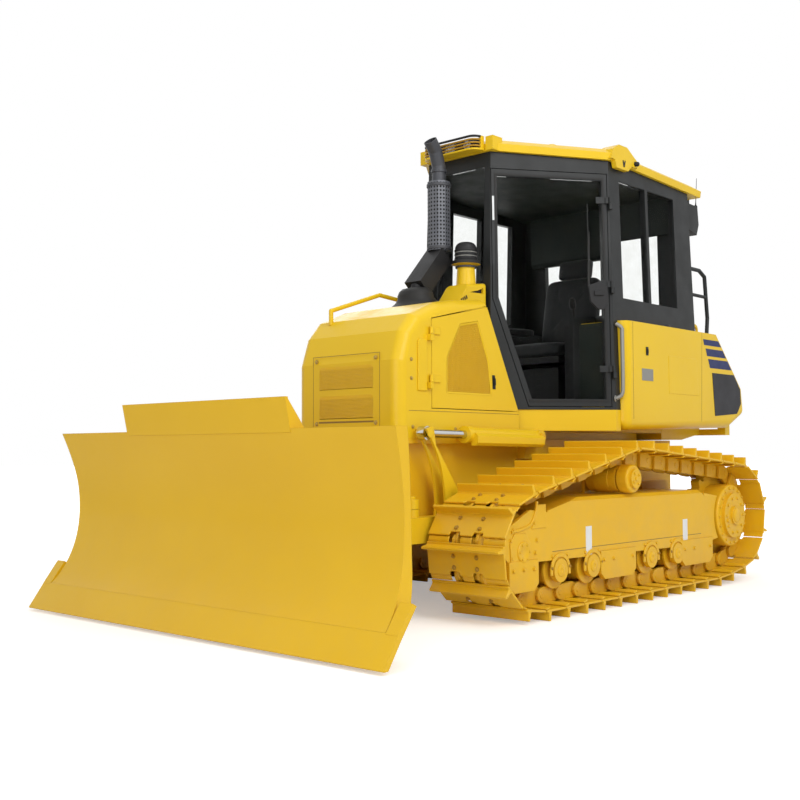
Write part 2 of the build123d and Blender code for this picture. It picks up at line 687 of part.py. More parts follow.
with BuildPart() as lift_rod_left:
    with BuildSketch(lift_axis.offset(lift_len * 0.68 - 380)):
        Circle(lift_rod_r)
    extrude(amount=lift_len * 0.32 + 380 - 20)
    with BuildSketch(side.offset(-arm_y)):
        with Locations((lift_pin_x, lift_pin_z)):
            Circle(38)
    extrude(amount=eye_width / 2, both=True)
    with BuildSketch(side.offset(-arm_y)):
        with Locations((lift_pin_x, lift_pin_z)):
            Circle(20)
    extrude(amount=eye_width, both=True, mode=Mode.SUBTRACT)
lift_rod_left.part.label = "lift_rod_left"
export_step(lift_rod_left.part, "parts/lift_rod_left.step")
with BuildPart() as lift_rod_right:
    add(mirror(lift_rod_left.part, about=Plane.XZ))
lift_rod_right.part.label = "lift_rod_right"
export_step(lift_rod_right.part, "parts/lift_rod_right.step")

# Angle cylinders
angle_len = math.hypot(angle_pin_x - angle_base_x, angle_pin_y - arm_y)
angle_out = 235.0          # rod shown at rest
angle_engaged = 215.0      # rod inside the barrel at rest
angle_gland = angle_len - angle_out
angle_axis = Plane(origin=(angle_base_x, arm_y, angle_z), x_dir=(0, 0, 1),
                   z_dir=(angle_pin_x - angle_base_x, angle_pin_y - arm_y, 0))
with BuildPart() as angle_barrel_left:
    with BuildSketch(angle_axis.offset(52)):
        Circle(angle_bore)
    extrude(amount=angle_gland - 52)
    with BuildSketch(angle_axis.offset(25)):
        Circle(24)
    extrude(amount=32)
    with BuildSketch(Plane.XY.offset(eye_low)):
        with Locations((angle_base_x, arm_y)):
            Circle(40)
    extrude(amount=eye_width)
    with BuildSketch(Plane.XY.offset(eye_low - 30)):
        with Locations((angle_base_x, arm_y)):
            Circle(22 + pin_gap)
    extrude(amount=eye_width + 60, mode=Mode.SUBTRACT)
    with BuildSketch(angle_axis.offset(62)):
        Circle(angle_rod_r + pin_gap)
    extrude(amount=angle_len, mode=Mode.SUBTRACT)
angle_barrel_left.part.label = "angle_barrel_left"
export_step(angle_barrel_left.part, "parts/angle_barrel_left.step")
with BuildPart() as angle_barrel_right:
    add(mirror(angle_barrel_left.part, about=Plane.XZ))
angle_barrel_right.part.label = "angle_barrel_right"
export_step(angle_barrel_right.part, "parts/angle_barrel_right.step")
with BuildPart() as angle_rod_left:
    with BuildSketch(angle_axis.offset(angle_gland - angle_engaged)):
        Circle(angle_rod_r)
    extrude(amount=angle_engaged + angle_out - 20)
    with BuildSketch(Plane.XY.offset(eye_low)):
        with Locations((angle_pin_x, angle_pin_y)):
            Circle(38)
    extrude(amount=eye_width)
    with BuildSketch(Plane.XY.offset(eye_low - 1)):
        with Locations((angle_pin_x, angle_pin_y)):
            Circle(20)
    extrude(amount=eye_width + 2, mode=Mode.SUBTRACT)
angle_rod_left.part.label = "angle_rod_left"
export_step(angle_rod_left.part, "parts/angle_rod_left.step")
with BuildPart() as angle_rod_right:
    add(mirror(angle_rod_left.part, about=Plane.XZ))
angle_rod_right.part.label = "angle_rod_right"
export_step(angle_rod_right.part, "parts/angle_rod_right.step")

# Tilt cylinder across the back of the blade
tilt_len_c = tilt_pin_y - tilt_base_y
tilt_gland = tilt_len_c - 130
tilt_axis = Plane(origin=(tilt_cyl_x, tilt_base_y, tilt_z), x_dir=(1, 0, 0), z_dir=(0, 1, 0))
with BuildPart() as tilt_barrel:
    with BuildSketch(tilt_axis.offset(18)):
        Circle(tilt_bore)
    extrude(amount=tilt_gland - 18)
    with BuildSketch(Plane.YZ.offset(tilt_cyl_x)):
        with Locations((tilt_base_y, tilt_z)):
            Circle(36)
    extrude(amount=eye_width / 2, both=True)
    with BuildSketch(Plane.YZ.offset(tilt_cyl_x)):
        with Locations((tilt_base_y, tilt_z)):
            Circle(20 + pin_gap)
    extrude(amount=eye_width, both=True, mode=Mode.SUBTRACT)
    with BuildSketch(tilt_axis.offset(60)):
        Circle(tilt_rod_r + pin_gap)
    extrude(amount=tilt_len_c, mode=Mode.SUBTRACT)
tilt_barrel.part.label = "tilt_barrel"
export_step(tilt_barrel.part, "parts/tilt_barrel.step")
with BuildPart() as tilt_rod:
    with BuildSketch(tilt_axis.offset(tilt_gland - 160)):
        Circle(tilt_rod_r)
    extrude(amount=160 + 130 - 18)
    with BuildSketch(Plane.YZ.offset(tilt_cyl_x)):
        with Locations((tilt_pin_y, tilt_z)):
            Circle(34)
    extrude(amount=eye_width / 2, both=True)
    with BuildSketch(Plane.YZ.offset(tilt_cyl_x)):
        with Locations((tilt_pin_y, tilt_z)):
            Circle(18)
    extrude(amount=eye_width, both=True, mode=Mode.SUBTRACT)
tilt_rod.part.label = "tilt_rod"
export_step(tilt_rod.part, "parts/tilt_rod.step")


# Engine, one plain block
with BuildPart() as engine_block:
    with Locations((560, 0, hull_top + 280)):
        Box(640, 520, 560)
engine_block.part.label = "engine_block"
export_step(engine_block.part, "parts/engine_block.step")

# Hood: hollow nose and top, open where the side doors sit
hood_line = [(hood_front_x, 1370), (hood_front_x - 52, 1530), (hood_front_x - 140, 1630), (hood_front_x - 334, 1708),
             (hood_front_x - 483, 1737), hood_rear_top]
door_line = [(door_front_x, door_low), (door_front_x, 1612), (360.0, 1722)]
slant = (hood_rear_top[0] - hood_rear_low[0]) / (hood_rear_top[1] - hood_rear_low[1])
with BuildPart() as hood:
    with BuildSketch(side):
        Polygon((hood_front_x, hood_low), *hood_line, hood_rear_low, (hood_rear_low[0], hood_low), align=None)
    extrude(amount=hood_half, both=True)
    fillet(hood.edges().filter_by(lambda e: abs(abs(e.center().Y) - hood_half) < 1 and abs(e.tangent_at(0.5).Y) < 0.1
           and e.center().X > hood_rear_top[0] and e.center().Z > hood_low + 1), hood_corner)
    with BuildSketch(side):
        Polygon((hood_front_x - hood_wall, hood_low - 1), *[(x - hood_wall, z - hood_wall) for x, z in hood_line[:-1]],
                (hood_rear_top[0] - 60, hood_rear_top[1] - hood_wall + 6), (hood_rear_low[0] - 60, 1600),
                (hood_rear_low[0] - 60, hood_low - 1), align=None)
    extrude(amount=hood_half - hood_wall, both=True, mode=Mode.SUBTRACT)
    for turn in (1, -1):
        with BuildSketch(side.offset(-turn * (hood_half - hood_wall - 10))):
            Polygon(*door_line, (0, 1722), (0, door_low), align=None)
        extrude(amount=-turn * 80, mode=Mode.SUBTRACT)
    for z in louvre_z:
        with Locations((hood_front_x, 0, z)):
            Box(90, 420, 112, mode=Mode.SUBTRACT)
    for turn in (1, -1):
        for z in hinge_z:
            with Locations((door_front_x + hinge_out + 8, turn * (hood_half + hinge_out - 2), z - 18)):
                Box(28, 2 * hinge_out, 36)
            with Locations((door_front_x + hinge_out, turn * (hood_half + hinge_out), z + 12)):
                Cylinder(6, 60)
    with BuildSketch(side):
        Polygon((hood_rear_top[0] + 40, 1700), (hood_rear_top[0] + 40, 1745), (hood_rear_top[0] - 40, 1792), (146, 1800),
                (146, 1700), align=None)
    extrude(amount=235, both=True)
    with BuildSketch(side.offset(-cowl_y[0])):
        Polygon((hood_rear_top[0] + 55, 1740), (cowl_top[0][0], cowl_top[0][1]), (cowl_top[1][0], cowl_top[1][1]),
                (146, 1705), align=None)
    extrude(amount=-(cowl_y[1] - cowl_y[0]))
    fillet(hood.edges().filter_by(Axis.X, tolerance=20).filter_by(lambda e: e.center().Z > 1870), 22)
    with BuildSketch(side.offset(-cowl_y[1])):
        Polygon((300, 1828), (222, 1846), (170, 1866), (168, 1832), align=None)
    extrude(amount=18, mode=Mode.SUBTRACT)
hood.part.label = "hood"
export_step(hood.part, "parts/hood.step")

# Nose louvres
with BuildPart() as nose_grille:
    for z in louvre_z:
        with Locations((hood_front_x - hood_wall - 6, 0, z)):
            Box(11, 440, 124)
        for k in range(5):
            with Locations(Location((hood_front_x - hood_wall + 8, 0, z - 44 + 22 * k), (0, 28, 0))):
                Box(26, 417, 5)
nose_grille.part.label = "nose_grille"
export_step(nose_grille.part, "parts/nose_grille.step")

# Engine side doors
with BuildPart() as engine_door_left:
    with BuildSketch(side.offset(-(hood_half - hood_wall))):
        Polygon((door_front_x - door_gap, door_low + door_gap), (door_front_x - door_gap, 1612 - door_gap),
                (hood_rear_low[0] + slant * (1718 - hood_rear_low[1]), 1718),
                (hood_rear_low[0] + slant * (door_low + door_gap - hood_rear_low[1]), door_low + door_gap), align=None)
    extrude(amount=-hood_wall)
    with BuildSketch(side.offset(-hood_half)):
        Polygon((door_front_x - 130, 1200), (door_front_x - 130, 1400), (door_front_x - 250, 1600), (430, 1630),
                (330, 1400), (300, 1200), align=None)
    extrude(amount=9, mode=Mode.SUBTRACT)
    for z in hinge_z:
        with Locations((door_front_x - 38, hood_half + 3.5, z + 22)):
            Box(66, 9, 40)
        with Locations((door_front_x + 2, hood_half + hinge_out - 5, z + 22)):
            Box(26, 8, 40)
        with Locations((door_front_x + hinge_out, hood_half + hinge_out, z + 22)):
            Cylinder(11, 40)
            Cylinder(6 + pin_gap, 80, mode=Mode.SUBTRACT)
engine_door_left.part.label = "engine_door_left"
export_step(engine_door_left.part, "parts/engine_door_left.step")
with BuildPart() as engine_door_right:
    add(mirror(engine_door_left.part, about=Plane.XZ))
engine_door_right.part.label = "engine_door_right"
export_step(engine_door_right.part, "parts/engine_door_right.step")

# Exhaust: domed foot on the hood, slanting elbow, shielded stack and a tip bent forward
stack_x = 300.0
foot_x = 500.0
with BuildPart() as exhaust_stack:
    with BuildSketch(Plane.XZ):
        with BuildLine():
            Line((foot_x, 1690), (foot_x + 105, 1690))
            ThreePointArc((foot_x + 105, 1690), (foot_x + 85, 1775), (foot_x + 45, 1815))
            Polyline((foot_x + 45, 1815), (foot_x, 1815), (foot_x, 1690))
        make_face()
    revolve(axis=Axis((foot_x, 0, 0), (0, 0, 1)))
    with BuildSketch(side):
        Polygon(*hood_line, (hood_rear_top[0], hood_low), (hood_front_x, hood_low), align=None)
    extrude(amount=hood_half, both=True, mode=Mode.SUBTRACT)
    with BuildLine() as gas_path:
        Polyline((foot_x, 0, 1810), (foot_x, 0, 1868), (stack_x, 0, 2085), (stack_x, 0, 2630), (stack_x + 30, 0, 2715),
                 (stack_x + 80, 0, 2775))
    with BuildSketch(Plane(origin=(foot_x, 0, 1810), z_dir=(0, 0, 1))):
        Circle(42)
    sweep(path=gas_path.line, transition=Transition.ROUND)
    with BuildSketch(Plane.XY.offset(2105)):
        with Locations((stack_x, 0)):
            RegularPolygon(72, 10)
    extrude(amount=425)
    with BuildSketch(Plane(origin=(foot_x + 8, 0, 1850), x_dir=(0, 1, 0), z_dir=(stack_x - foot_x, 0, 2085 - 1868))):
        Rectangle(128, 112)
    extrude(amount=math.hypot(stack_x - foot_x, 2085 - 1868) + 12)
    with BuildLine() as mouth_path:
        Polyline((stack_x, 0, 2600), (stack_x, 0, 2630), (stack_x + 30, 0, 2715), (stack_x + 80, 0, 2775),
                 (stack_x + 110, 0, 2811))
    with BuildSketch(Plane.XY.offset(2600)):
        with Locations((stack_x, 0)):
            Circle(37)
    sweep(path=mouth_path.line, transition=Transition.ROUND, mode=Mode.SUBTRACT)
exhaust_stack.part.label = "exhaust_stack"
export_step(exhaust_stack.part, "parts/exhaust_stack.step")

# Air pre-cleaner: flanged cap on a tapered neck
clean_x = 226.0
clean_y = 150.0
with BuildPart() as air_precleaner:
    with BuildSketch(Plane.XZ.offset(-clean_y)):
        with BuildLine():
            Polyline((clean_x, cowl_top[1][1] - 60), (clean_x + 64, cowl_top[1][1] - 60), (clean_x + 52, 2010),
                     (clean_x + 88, 2012), (clean_x + 88, 2030), (clean_x + 66, 2044), (clean_x + 66, 2108))
            ThreePointArc((clean_x + 66, 2108), (clean_x + 54, 2136), (clean_x + 26, 2148))
            Polyline((clean_x + 26, 2148), (clean_x, 2148), (clean_x, cowl_top[1][1] - 60))
        make_face()
    revolve(axis=Axis((clean_x, clean_y, 0), (0, 0, 1)))
    add(hood.part, mode=Mode.SUBTRACT)
air_precleaner.part.label = "air_precleaner"
export_step(air_precleaner.part, "parts/air_precleaner.step")

# Hood handrail on the right
with BuildPart() as hood_handrail:
    with BuildLine() as rail_path:
        Polyline((980, -250, 1612), (980, -250, 1695), (570, -250, 1830), (385, -250, 1815), (385, -250, 1752))
    with BuildSketch(Plane(origin=(980, -250, 1612), z_dir=(0, 0, 1))):
        Circle(13)
    sweep(path=rail_path.line, transition=Transition.ROUND)
    add(hood.part, mode=Mode.SUBTRACT)
hood_handrail.part.label = "hood_handrail"
export_step(hood_handrail.part, "parts/hood_handrail.step")

# Cab, six-sided in plan and leaning in on every side
run_x = cab_front_x - cab_b_x
run_y = cab_side_y - cab_front_y
run_len = math.hypot(run_x, run_y)
nx = run_y / run_len
ny = run_x / run_len
lean_rate = math.tan(math.radians(cab_lean))


def cab_plan(inset):
    """Corners of the cab's plan, moved in by one distance on every side."""
    a = (cab_front_x - inset, cab_front_y - inset * (1 - nx) / ny)
    b = (cab_b_x - inset * (1 - ny) / nx, cab_side_y - inset)
    c = (cab_rear_x + inset, cab_side_y - inset)
    return [a, b, c, (c[0], -c[1]), (b[0], -b[1]), (a[0], -a[1])]


def cab_shell(low, high, inset):
    """Loft the leaning cab between two heights, moved in from the outside."""
    with BuildPart() as block:
        for z in (low, high):
            with BuildSketch(Plane.XY.offset(z)):
                Polygon(*cab_plan(inset + (z - cab_low) * lean_rate), align=None)
        loft(ruled=True)
    return block.part


def window_cut(margin):
    """Blocks that cut the windscreen, side and rear windows, smaller by a margin."""
    with BuildPart() as block:
        with Locations((cab_front_x, 0, (1835 + 2630) / 2)):
            Box(400, 2 * (205 - margin), 2630 - 1835 - 2 * margin)
        for front, back in side_panes:
            with Locations(((front + back) / 2, 0, (sill_z + 2590) / 2)):
                Box(front - back - 2 * margin, 3000, 2590 - sill_z - 2 * margin)
        with Locations((cab_rear_x, 0, (1800 + 2600) / 2)):
            Box(300, 2 * (480 - margin), 800 - 2 * margin)
    return block.part


lean = math.radians(cab_lean)
hinge_face = Plane(origin=(cab_front_x, cab_front_y, cab_low), x_dir=(-ny, nx, 0),
                   z_dir=(nx * math.cos(lean), ny * math.cos(lean), math.sin(lean)))
cab_hinge_s = 794.0
cab_hinge_out = 15.0
cab_hinge_up = (230.0, 760.0, 1290.0)
door_face = Plane(origin=(cab_front_x, cab_front_y, 0), x_dir=(-ny, nx, 0), z_dir=(nx, ny, 0))


def door_cut(points, deep=260):
    """Prism through the left door wall from an outline in distance along the wall and height."""
    with BuildPart() as block:
        with BuildSketch(door_face):
            Polygon(*points, align=None)
        extrude(amount=deep, both=True)
    return block.part


door_sill = 1150.0
door_head = cab_top - 110
door_out = [(26, 1805), (26, door_head), (778, door_head), (778, door_sill), (242, door_sill)]
door_hole = [(22, 1804), (22, door_head + 4), (782, door_head + 4), (782, door_sill - 4), (239, door_sill - 4)]
glass_out = [(62, 1812), (62, door_head - 42), (742, door_head - 42), (742, door_sill + 45), (262, door_sill + 45)]
glass_in = [(62.5, 1812), (62.5, door_head - 42.5), (741.5, door_head - 42.5), (741.5, door_sill + 45.5),
            (262.5, door_sill + 45.5)]
left_hole = door_cut(door_hole)
with BuildPart() as hinge_posts:
    with Locations(hinge_face.location):
        for up in cab_hinge_up:
            with Locations((cab_hinge_s + 1, up - 18, 13)):
                Box(22, 36, 30)
            with Locations((cab_hinge_s, up + 14, cab_hinge_out)):
                Cylinder(6, 60, rotation=(90, 0, 0))
left_posts = hinge_posts.part
with BuildPart() as cab_void:
    add(cab_shell(cab_low + 30, cab_top + 2, cab_wall))
    for y in (1, -1):
        with Locations((tank_front_x + cab_wall - 600, y * (tank_in_y - cab_wall + 300), (cab_low + tank_top + cab_wall) / 2)):
            Box(1200, 600, tank_top + cab_wall - cab_low, mode=Mode.SUBTRACT)
roof_fall = math.atan2(roof_drop, cab_front_x - roof_rear_x)
roof_plane = Plane(origin=(cab_front_x, 0, cab_top), x_dir=(math.cos(roof_fall), 0, math.sin(roof_fall)),
                   z_dir=(-math.sin(roof_fall), 0, math.cos(roof_fall)))
with BuildPart() as cab_frame:
    add(cab_shell(cab_low, cab_top, 0))
    for y in (1, -1):
        with Locations((tank_front_x - 600, y * (tank_in_y + 300), (cab_low + tank_top + 2) / 2 - 20)):
            Box(1200, 600, tank_top + 2 - cab_low + 40, mode=Mode.SUBTRACT)
    add(cab_void.part, mode=Mode.SUBTRACT)
    add(window_cut(0), mode=Mode.SUBTRACT)
    add(left_hole, mode=Mode.SUBTRACT)
    add(mirror(left_hole, about=Plane.XZ), mode=Mode.SUBTRACT)
    for y in (610, -610):
        with BuildSketch(side.offset(-y)):
            Polygon((cab_rear_x + 48, 2440), (cab_rear_x - 110, 2400), (cab_rear_x - 142, 2480), (cab_rear_x - 125, 2606),
                    (cab_rear_x + 50, 2612), align=None)
        extrude(amount=78, both=True)
    with BuildSketch(roof_plane):
        Rectangle(5000, 3000)
    extrude(amount=300, mode=Mode.SUBTRACT)
    add(left_posts)
    add(mirror(left_posts, about=Plane.XZ))
cab_frame.part.label = "cab_frame"
export_step(cab_frame.part, "parts/cab_frame.step")

# Fixed glass
with BuildPart() as cab_glass:
    add(cab_shell(1700, cab_top, 16))
    add(cab_shell(1690, cab_top + 10, 24), mode=Mode.SUBTRACT)
    add(window_cut(0.5), mode=Mode.INTERSECT)
cab_glass.part.label = "cab_glass"
export_step(cab_glass.part, "parts/cab_glass.step")

# Cab doors
with BuildPart() as cab_door_left:
    add(cab_shell(cab_low, cab_top, 0))
    add(cab_shell(cab_low - 10, cab_top + 10, 40), mode=Mode.SUBTRACT)
    add(door_cut(door_out), mode=Mode.INTERSECT)
    add(door_cut(glass_out), mode=Mode.SUBTRACT)
    with Locations(hinge_face.location):
        for up in cab_hinge_up:
            with Locations((736, up + 22, 3.5)):
                Box(66, 40, 9)
            with Locations((cab_hinge_s - 15, up + 22, cab_hinge_out - 5)):
                Box(32, 40, 8)
            with Locations((cab_hinge_s, up + 22, cab_hinge_out)):
                Cylinder(11, 40, rotation=(90, 0, 0))
                Cylinder(6 + pin_gap, 80, rotation=(90, 0, 0), mode=Mode.SUBTRACT)
cab_door_left.part.label = "cab_door_left"
export_step(cab_door_left.part, "parts/cab_door_left.step")
with BuildPart() as cab_door_right:
    add(mirror(cab_door_left.part, about=Plane.XZ))
cab_door_right.part.label = "cab_door_right"
export_step(cab_door_right.part, "parts/cab_door_right.step")
with BuildPart() as door_glass_left:
    add(cab_shell(cab_low, cab_top, 16))
    add(cab_shell(cab_low - 10, cab_top + 10, 24), mode=Mode.SUBTRACT)
    add(door_cut(glass_in), mode=Mode.INTERSECT)
door_glass_left.part.label = "door_glass_left"
export_step(door_glass_left.part, "parts/door_glass_left.step")
with BuildPart() as door_glass_right:
    add(mirror(door_glass_left.part, about=Plane.XZ))
door_glass_right.part.label = "door_glass_right"
export_step(door_glass_right.part, "parts/door_glass_right.step")

# Roof, falling to the rear, with corner blocks; lamp bar and lamps
with BuildPart() as cab_roof:
    for up, inset in ((0, 25), (45, 20), (roof_top - cab_top, 70)):
        with BuildSketch(roof_plane.offset(up)):
            pts = [(x - cab_front_x, y) for x, y in cab_plan(inset)]
            rear = roof_rear_x - cab_front_x + (70 if inset == 70 else 0)
            Polygon(pts[0], pts[1], (rear, pts[2][1]), (rear, pts[3][1]), pts[4], pts[5], align=None)
    loft(ruled=True)
    for way in (1, -1):
        with BuildSketch(side.offset(-way * (cab_side_y - 120))):
            Polygon((-500, cab_top - 12), (-520, cab_top + 52), (-590, cab_top + 90), (-690, cab_top + 90),
                    (-815, cab_top + 22), (-815, cab_top - 24), align=None)
        extrude(amount=-way * 112)
        with BuildSketch(side.offset(-way * (cab_side_y - 40))):
            Polygon((-540, cab_top - 10), (-560, cab_top - 62), (-700, cab_top - 62), (-760, cab_top - 10), align=None)
        extrude(amount=-way * 32)
        with BuildSketch(Plane.XY.offset(cab_top)):
            with Locations((cab_front_x - 62, way * (cab_front_y - 8))):
                Rectangle(96, 56)
        extrude(amount=86)
cab_roof.part.label = "cab_roof"
export_step(cab_roof.part, "parts/cab_roof.step")
bar_low = cab_top + 1
bar_high = 2815.0
bar_half = 222.0
bar_rear_x = cab_front_x - 20 * math.cos(roof_fall) - 45 * math.sin(roof_fall)   # on the roof's nose
bar_front_x = 216.0
bar_round = 62.0
slat = 8.0                 # depth of the guard slats
bar_wall = 10.0
with BuildPart() as lamp_bar:
    for low, thick in ((bar_low, 9), (bar_low + 24, 6), (bar_low + 44, 6), (bar_low + 64, 6), (bar_high - 12, 12)):
        with BuildSketch(Plane.XY.offset(low)):
            with Locations(((bar_rear_x + bar_front_x) / 2, 0)):
                Rectangle(bar_front_x - bar_rear_x, 2 * bar_half)
            fillet([v for v in vertices() if v.X > bar_front_x - 1], bar_round)
        extrude(amount=thick)
        if thick == 6:
            with BuildSketch(Plane.XY.offset(low)):
                with Locations(((bar_rear_x + bar_front_x) / 2 - slat, 0)):
                    Rectangle(bar_front_x - bar_rear_x, 2 * (bar_half - slat))
                fillet([v for v in vertices() if v.X > bar_front_x - slat - 1], bar_round - slat)
            extrude(amount=thick, mode=Mode.SUBTRACT)
    with Locations((bar_rear_x + bar_wall / 2, 0, (bar_low + bar_high) / 2)):
        Box(bar_wall, 2 * bar_half, bar_high - bar_low)
lamp_bar.part.label = "lamp_bar"
export_step(lamp_bar.part, "parts/lamp_bar.step")
lamp_z = (bar_low + bar_high) / 2 - 2
with BuildPart() as work_lamps:
    with Locations(Location((bar_rear_x + bar_wall + 25, 125, lamp_z), (0, 90, 0))):
        Cylinder(34, 50)
    for y in (-10, -150):
        with Locations((bar_rear_x + bar_wall + 23, y, lamp_z)):
            Box(46, 96, 62)
    with Locations(roof_plane.location):
        for y in (-560, 560):
            with Locations((roof_rear_x - cab_front_x - 16, y, 20)):
                Box(32, 120, 60)
work_lamps.part.label = "work_lamps"
export_step(work_lamps.part, "parts/work_lamps.step")

# Deck under the cab
with BuildPart() as cab_deck:
    with BuildSketch(Plane.XY.offset(1000)):
        a, b = cab_plan(0)[:2]
        Polygon((30, -280), (30, 280), (a[0] - 120, a[1] + 75), b, (tank_front_x + 1, b[1]), (tank_front_x + 1, tank_in_y - 1),
                (cab_rear_x, tank_in_y - 1), (cab_rear_x, 1 - tank_in_y), (tank_front_x + 1, 1 - tank_in_y),
                (tank_front_x + 1, -b[1]), (b[0], -b[1]), (a[0] - 120, -a[1] - 75), align=None)
    extrude(amount=cab_low - 1000)
    with Locations((-760, 0, 975)):
        Box(1500, 600, 50)
cab_deck.part.label = "cab_deck"
export_step(cab_deck.part, "parts/cab_deck.step")

# Seat and console
with BuildPart() as cab_seat:
    with Locations((-900, 0, 1330)):
        Box(360, 360, 340)
    with Locations((-880, 0, 1555)):
        Box(500, 500, 130)
    with BuildSketch(Plane.XZ):
        Polygon((-1060, 1600), (-1150, 1600), (-1260, 2240), (-1190, 2240), align=None)
    extrude(amount=230, both=True)
cab_seat.part.label = "cab_seat"
export_step(cab_seat.part, "parts/cab_seat.step")
with BuildPart() as cab_console:
    with BuildSketch(Plane.XZ):
        Polygon((70, 1160), (-90, 1160), (-60, 1640), (-30, 1760), (60, 1780), align=None)
    extrude(amount=170, both=True)
    with BuildSketch(Plane.XZ):
        Polygon((-640, 1160), (-1150, 1160), (-1150, 1640), (-640, 1700), align=None)
    extrude(amount=395, both=True)
    with Locations((-900, 0, 1500)):
        Box(900, 560, 900, mode=Mode.SUBTRACT)
cab_console.part.label = "cab_console"
export_step(cab_console.part, "parts/cab_console.step")

# Side tanks, with the sloping rear
with BuildPart() as tank_left:
    with BuildSketch(side.offset(-tank_in_y)):
        Polygon((tank_front_x, 1004), (tank_front_x, tank_top), (-1770, tank_top), (-2150, 1320), (-2178, 1126),
                (-1980, 1040), align=None)
    extrude(amount=-(tank_y - tank_in_y))
    fillet(tank_left.edges().filter_by(lambda e: abs(e.center().Y - tank_y) < 1 and e.center().Z < 1100), 50)
    fillet(tank_left.edges().filter_by(lambda e: abs(e.center().Y - tank_y) < 1 and e.center().X > tank_front_x - 1), 60)
tank_left.part.label = "side_tank_left"
export_step(tank_left.part, "parts/side_tank_left.step")
with BuildPart() as tank_right:
    add(mirror(tank_left.part, about=Plane.XZ))
tank_right.part.label = "side_tank_right"
export_step(tank_right.part, "parts/side_tank_right.step")

# Radiator housing at the rear and its grille door
with BuildPart() as radiator_housing:
    with BuildSketch(side):
        Polygon((cab_rear_x - 4, 955), (cab_rear_x - 4, tank_top), (-1770, tank_top), (-2140, 1330), (-2178, 1126),
                (-2178, 1000), (hull_rear_x, 955), align=None)
    extrude(amount=tank_in_y, both=True)
    with Locations((-2130, 0, 1215)):
        Box(400, 760, 330, mode=Mode.SUBTRACT)
radiator_housing.part.label = "radiator_housing"
export_step(radiator_housing.part, "parts/radiator_housing.step")
with BuildPart() as rear_grille:
    with Locations((-2214, 0, 1200)):
        Box(72, 1300, 420)
    with Locations((-2215, 0, 1200)):
        Box(80, 1180, 330, mode=Mode.SUBTRACT)
    for k in range(7):
        with Locations(Location((-2215, 0, 1200 - 135 + 45 * k), (0, -30, 0))):
            Box(50, 1190, 6)
rear_grille.part.label = "rear_grille"
export_step(rear_grille.part, "parts/rear_grille.step")

# Rear grab rails from the cab to the tanks
with BuildPart() as rear_rails:
    for y in (670, -670):
        with BuildLine() as bar_path:
            Polyline((cab_rear_x + 60, y, 2157), (-1770, y, 2157), (-1850, y, 2120), (-1885, y, 1826), (-1850, y, 1540))
        with BuildSketch(Plane(origin=(cab_rear_x + 60, y, 2157), z_dir=(-1, 0, 0))):
            Circle(14)
        sweep(path=bar_path.line, transition=Transition.ROUND)
        with BuildSketch(Plane(origin=(cab_rear_x + 60, y, 1975), z_dir=(-1, 0, 0))):
            Circle(12)
        extrude(amount=-1600 + 1868 + 60)
    add(cab_frame.part, mode=Mode.SUBTRACT)
    add(tank_left.part, mode=Mode.SUBTRACT)
    add(tank_right.part, mode=Mode.SUBTRACT)
rear_rails.part.label = "rear_rails"
export_step(rear_rails.part, "parts/rear_rails.step")
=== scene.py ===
"""Looks of a small crawler dozer: paint, glass, track chain, cab fittings and the studio round it.

Sizes are in millimetres in the part's own frame (X forward, Y left, Z up, ground at zero) and become metres
when a mesh is made.
"""

import math

import bmesh
import bpy
import numpy as np
from mathutils import Matrix, Vector


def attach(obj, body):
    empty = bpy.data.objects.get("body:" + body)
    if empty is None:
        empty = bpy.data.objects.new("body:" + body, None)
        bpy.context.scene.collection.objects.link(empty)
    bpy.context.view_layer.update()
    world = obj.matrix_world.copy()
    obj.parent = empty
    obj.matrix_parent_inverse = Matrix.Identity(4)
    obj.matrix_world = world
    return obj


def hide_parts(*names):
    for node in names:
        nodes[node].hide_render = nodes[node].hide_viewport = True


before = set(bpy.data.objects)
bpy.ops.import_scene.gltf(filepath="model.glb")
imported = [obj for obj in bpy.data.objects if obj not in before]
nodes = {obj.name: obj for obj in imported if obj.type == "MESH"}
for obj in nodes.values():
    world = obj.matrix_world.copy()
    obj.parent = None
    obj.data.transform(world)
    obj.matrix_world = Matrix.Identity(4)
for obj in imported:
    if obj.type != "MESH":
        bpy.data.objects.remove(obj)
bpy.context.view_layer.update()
scene = bpy.context.scene
along_x, along_y, along_z = (1, 0, 0), (0, 1, 0), (0, 0, 1)
mm = 0.001


# Surfaces


def piece(name, verts, faces, finish, body="machine", smooth=True):
    """A mesh of (n, 3) points in millimetres and a list of faces, made an object that rides on a body.

    Doubled points at poles and seams are merged, faces are turned outwards, and edges over 40 degrees stay
    sharp.
    """
    mesh = bpy.data.meshes.new(name)
    mesh.from_pydata((np.asarray(verts, float) * mm).tolist(), [], [list(map(int, f)) for f in faces])
    bm = bmesh.new()
    bm.from_mesh(mesh)
    bmesh.ops.remove_doubles(bm, verts=bm.verts, dist=2e-5)
    bmesh.ops.dissolve_degenerate(bm, dist=1e-6, edges=bm.edges)
    bmesh.ops.recalc_face_normals(bm, faces=bm.faces)
    bm.to_mesh(mesh)
    bm.free()
    mesh.polygons.foreach_set("use_smooth", [smooth] * len(mesh.polygons))
    if smooth:
        mesh.set_sharp_from_angle(angle=math.radians(40))
    mesh.materials.append(finish)
    obj = bpy.data.objects.new(name, mesh)
    scene.collection.objects.link(obj)
    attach(obj, body)
    return obj


def grid(rows, cols):
    """Quads between the points of a rows by cols grid, joined round the columns."""
    i, j = np.meshgrid(np.arange(rows - 1), np.arange(cols), indexing="ij")
    k = (j + 1) % cols
    quads = np.stack([i * cols + j, i * cols + k, (i + 1) * cols + k, (i + 1) * cols + j], -1)
    return quads.reshape(-1, 4).tolist()


